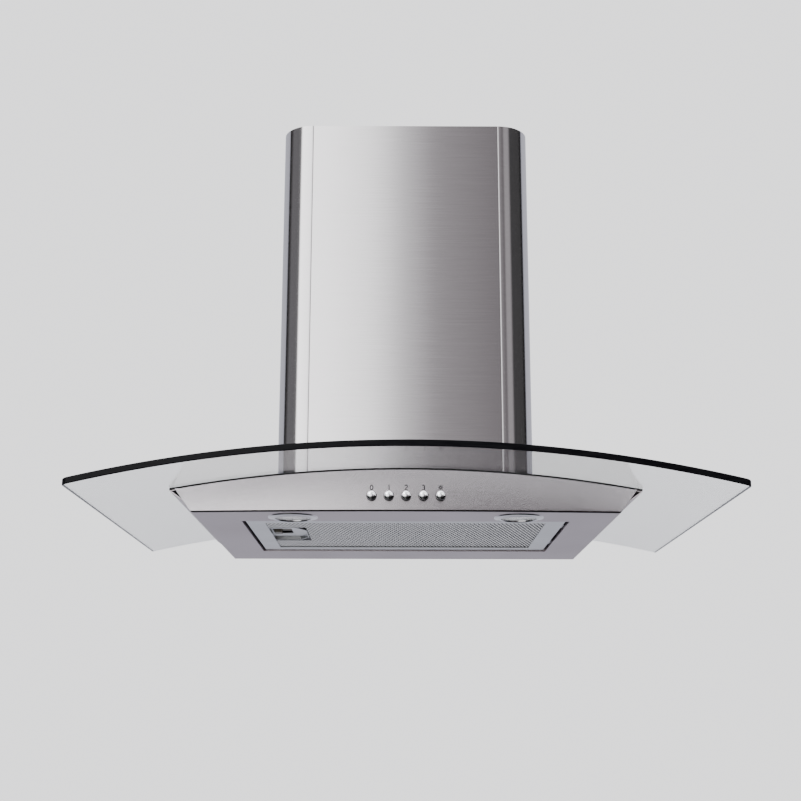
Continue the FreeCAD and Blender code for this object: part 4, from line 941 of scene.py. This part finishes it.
def make_bezel(side_name):
    low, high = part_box(f"lamp_bezel_{side_name}")
    centre = Vector(((low.x + high.x) / 2, (low.y + high.y) / 2, low.z))
    drop = panel_low.z - low.z
    inner = LENS_RADIUS + LENS_GAP
    top = high.z - low.z
    floor = drop + BEZEL_FLOOR
    bore = BARREL_RADIUS - BARREL_WALL
    profile = [(inner, floor)]
    profile += [(inner + out * MM, up * MM) for out, up in BEZEL_BEAD]
    profile += [(BEZEL_RADIUS - back * MM, up * MM) for back, up in BEZEL_RIM]
    profile += [(BEZEL_RADIUS, drop), (BARREL_RADIUS, drop), (BARREL_RADIUS, top),
                (bore, top), (bore, floor), (inner, floor)]
    lathe(f"lamp_ring_{side_name}", profile, centre, Vector((0, 0, 1)), "root", "polished_chrome",
          ring_material, f"lamp_bezel_{side_name}", steps=128)


def make_lens(side_name):
    """A shallow pressed lens with front-to-back ribs on a gentle dome."""
    low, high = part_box(f"lamp_lens_{side_name}")
    centre = Vector(((low.x + high.x) / 2, (low.y + high.y) / 2, 0))
    mesh = bmesh.new()
    turns = [math.tau * step / LENS_STEPS for step in range(LENS_STEPS)]

    def height(x, y, radius):
        rib = RIB_HEIGHT * (1 - abs(math.sin(math.pi * x / RIB_PITCH)))
        cross = CROSS_RIB_SHARE * RIB_HEIGHT * (1 - abs(math.sin(math.pi * y / (2 * RIB_PITCH))))
        fade = min(1.0, (LENS_RADIUS - radius) / RIB_FADE)
        return low.z + RIB_HEIGHT + LENS_DOME * (radius / LENS_RADIUS) ** 2 - fade * max(rib, cross)

    rings = []
    for row in range(1, LENS_ROWS + 1):
        radius = LENS_RADIUS * row / LENS_ROWS
        points = [(radius * math.cos(turn), radius * math.sin(turn)) for turn in turns]
        rings.append([(centre.x + x, centre.y + y, height(x, y, radius)) for x, y in points])
    seat = underside_z + LENS_SEAT
    wide = LENS_RADIUS + LENS_FLANGE
    for radius, level in ((LENS_RADIUS, seat), (wide, seat), (wide, high.z)):
        rings.append([(centre.x + radius * math.cos(turn), centre.y + radius * math.sin(turn), level)
                      for turn in turns])
    made = loft(mesh, rings)
    mesh.faces.new(made[-1])
    tip = mesh.verts.new((centre.x, centre.y, height(0.0, 0.0, 0.0)))
    for step in range(LENS_STEPS):
        mesh.faces.new((tip, made[0][(step + 1) % LENS_STEPS], made[0][step]))
    piece_from(f"lamp_pressed_lens_{side_name}", mesh, "root", "lamp_glass",
               MATERIALS["lamp_glass"], f"lamp_lens_{side_name}")


make_glass()
make_chimney_cover()
make_fascia()
make_filter_mesh()
make_marks()
make_latch_spring()
make_buttons()
for side_name in ("left", "right"):
    make_bezel(side_name)
    make_lens(side_name)


# ---- stage, lights and camera ------------------------------------------------------------

FLOOR_HALF = 12.0
FLOOR_LEVEL = -1.8


def make_floor():
    mesh = bmesh.new()
    mesh.faces.new([mesh.verts.new((x * FLOOR_HALF, y * FLOOR_HALF, FLOOR_LEVEL))
                    for x, y in ((-1, -1), (1, -1), (1, 1), (-1, 1))])
    data = bpy.data.meshes.new("studio_floor")
    mesh.to_mesh(data)
    mesh.free()
    floor = bpy.data.objects.new("studio_floor", data)
    bpy.context.scene.collection.objects.link(floor)
    finish = Finish("studio_floor_paint", Roughness=0.8)
    cloud = finish.noise((0.6, 0.6, 0.6), detail=2.0)
    finish.colour(cloud, (0.3, (0.80, 0.80, 0.81)), (0.7, (0.84, 0.84, 0.85)))
    data.materials.append(finish.material)
    floor.visible_glossy = False


LIGHT_TARGET = Vector((0, -0.2, -0.1))


def soft_light(name, azimuth, elevation, distance, width, height, watts, colour=(1, 1, 1)):
    """An area light that faces the hood; azimuth 0 is in front of it and positive to its right."""
    data = bpy.data.lights.new(name, "AREA")
    data.shape = "RECTANGLE"
    data.size = width
    data.size_y = height
    data.energy = watts
    data.color = colour
    light = bpy.data.objects.new(name, data)
    bpy.context.scene.collection.objects.link(light)
    turn, rise = math.radians(azimuth), math.radians(elevation)
    away = Vector((math.sin(turn) * math.cos(rise), -math.cos(turn) * math.cos(rise), math.sin(rise)))
    light.location = LIGHT_TARGET + away * distance
    light.rotation_mode = "QUATERNION"
    light.rotation_quaternion = away.to_track_quat("Z", "Y")
    light.visible_glossy = False


BACKDROP = (1.75, 1.75, 1.78, 1.0)
AMBIENT = (0.8, 0.8, 0.82, 1.0)
LAVENDER = (0.93, 0.945, 1.06)
# What the metal mirrors: azimuth in degrees, 0 in front of the hood and positive towards its right,
# then the level and the tint.
STUDIO_ROUND = (
    (-180, 0.78, LAVENDER), (-112, 0.76, LAVENDER), (-106, 0.012, (1.1, 1.0, 0.95)),
    (-99, 0.03, (1.1, 1.0, 0.95)), (-94, 0.12, (1, 0.97, 1.02)), (-60, 0.2, (1, 0.98, 1.02)),
    (-52, 0.3, (1, 1, 1)), (-46, 4.0, (1, 1, 1)), (-12, 3.4, (1, 1, 1)), (-5, 2.5, (1, 1, 1)),
    (0, 1.1, (1, 0.98, 1)), (4.5, 0.5, (1, 0.95, 0.98)), (14, 0.3, (1, 0.93, 0.97)),
    (22, 0.22, (1, 0.93, 0.97)), (28, 0.5, (1, 0.95, 0.98)), (42, 0.5, (1, 0.95, 0.98)),
    (50, 0.08, (1, 0.98, 1)),
    (92, 0.07, (1, 0.98, 1)), (99, 0.01, (1, 1, 1)), (105, 0.012, (1, 1, 1)), (111, 0.8, LAVENDER),
    (179, 0.78, LAVENDER),
)
# Angle about the hood's width, 0 behind it, 90 overhead, 180 in front and -90 below; a multiplier.
STUDIO_OVER = (
    (-180, 1.0), (-172, 0.4), (-160, 0.03), (-80, 0.04), (-45, 0.65), (-20, 0.95), (0, 1.0),
    (179, 1.0),
)


def radial_ramp(tree, vector, stops):
    """Colours set out by angle round a vector's first two axes; stops hold a share of a full turn."""
    around = tree.nodes.new("ShaderNodeTexGradient")
    around.gradient_type = "RADIAL"
    tree.links.new(vector, around.inputs["Vector"])
    ramp = tree.nodes.new("ShaderNodeValToRGB")
    elements = ramp.color_ramp.elements
    while len(elements) < len(stops):
        elements.new(1.0)
    for element, (position, colour) in zip(elements, sorted(stops)):
        element.position = position
        element.color = (*colour, 1.0)
    tree.links.new(around.outputs["Fac"], ramp.inputs["Fac"])
    return ramp.outputs["Color"]


def colour_mix(tree, kind, factor, first, second):
    mix = tree.nodes.new("ShaderNodeMix")
    mix.data_type = "RGBA"
    mix.blend_type = kind
    colours = ((mix.inputs["Factor"], factor), (mix.inputs[6], first), (mix.inputs[7], second))
    for socket, value in colours:
        if isinstance(value, bpy.types.NodeSocket):
            tree.links.new(value, socket)
        else:
            socket.default_value = value
    return mix.outputs[2]


def make_world():
    """A pale studio to the eye; the metal mirrors its softboxes, dark flanks and dark floor."""
    world = bpy.data.worlds.new("studio")
    bpy.context.scene.world = world
    world.use_nodes = True
    tree = world.node_tree
    place = tree.nodes.new("ShaderNodeTexCoord").outputs["Generated"]
    parts = tree.nodes.new("ShaderNodeSeparateXYZ")
    tree.links.new(place, parts.inputs["Vector"])
    upright = tree.nodes.new("ShaderNodeCombineXYZ")
    tree.links.new(parts.outputs["Y"], upright.inputs["X"])
    tree.links.new(parts.outputs["Z"], upright.inputs["Y"])
    round_stops = [((azimuth / 360 + 0.25) % 1.0, tuple(level * part for part in tint))
                   for azimuth, level, tint in STUDIO_ROUND]
    over_stops = [(angle / 360 + 0.5, (level,) * 3) for angle, level in STUDIO_OVER]
    level = radial_ramp(tree, place, round_stops)
    over = radial_ramp(tree, upright.outputs["Vector"], over_stops)
    mirrored = colour_mix(tree, "MULTIPLY", 1.0, level, over)
    path = tree.nodes.new("ShaderNodeLightPath")
    through = tree.nodes.new("ShaderNodeMath")
    through.operation = "GREATER_THAN"
    tree.links.new(path.outputs["Is Glossy Ray"], through.inputs[0])
    tree.links.new(path.outputs["Is Transmission Ray"], through.inputs[1])
    eye = colour_mix(tree, "MIX", path.outputs["Is Diffuse Ray"], BACKDROP, AMBIENT)
    shown = colour_mix(tree, "MIX", through.outputs["Value"], eye, mirrored)
    tree.links.new(shown, tree.nodes["Background"].inputs["Color"])


CAMERA_LENS = 60.4
CAMERA_PLACE = (-0.0080, -1.5976, -0.4976)
CAMERA_PITCH = 0.2405
CAMERA_YAW = -0.0021
CAMERA_ROLL = 0.0019


def make_camera():
    """The camera stands low in front of the hood and looks up at it."""
    data = bpy.data.cameras.new("front_camera")
    data.sensor_width = 36.0
    data.lens = CAMERA_LENS
    camera = bpy.data.objects.new("front_camera", data)
    bpy.context.scene.collection.objects.link(camera)
    camera.location = CAMERA_PLACE
    camera.rotation_mode = "XYZ"
    aim = Matrix.Rotation(CAMERA_YAW, 3, "Z") @ Matrix.Rotation(math.pi / 2 + CAMERA_PITCH, 3, "X")
    camera.rotation_euler = (aim @ Matrix.Rotation(CAMERA_ROLL, 3, "Z")).to_euler("XYZ")
    bpy.context.scene.camera = camera


make_floor()
make_world()
soft_light("key_softbox", -38, 32, 2.6, 1.5, 1.5, 55)
soft_light("fill_softbox", 34, 25, 3.2, 1.0, 1.5, 18, (1.0, 0.98, 0.99))
soft_light("top_softbox", 0, 80, 2.4, 2.0, 1.6, 30)
make_camera()
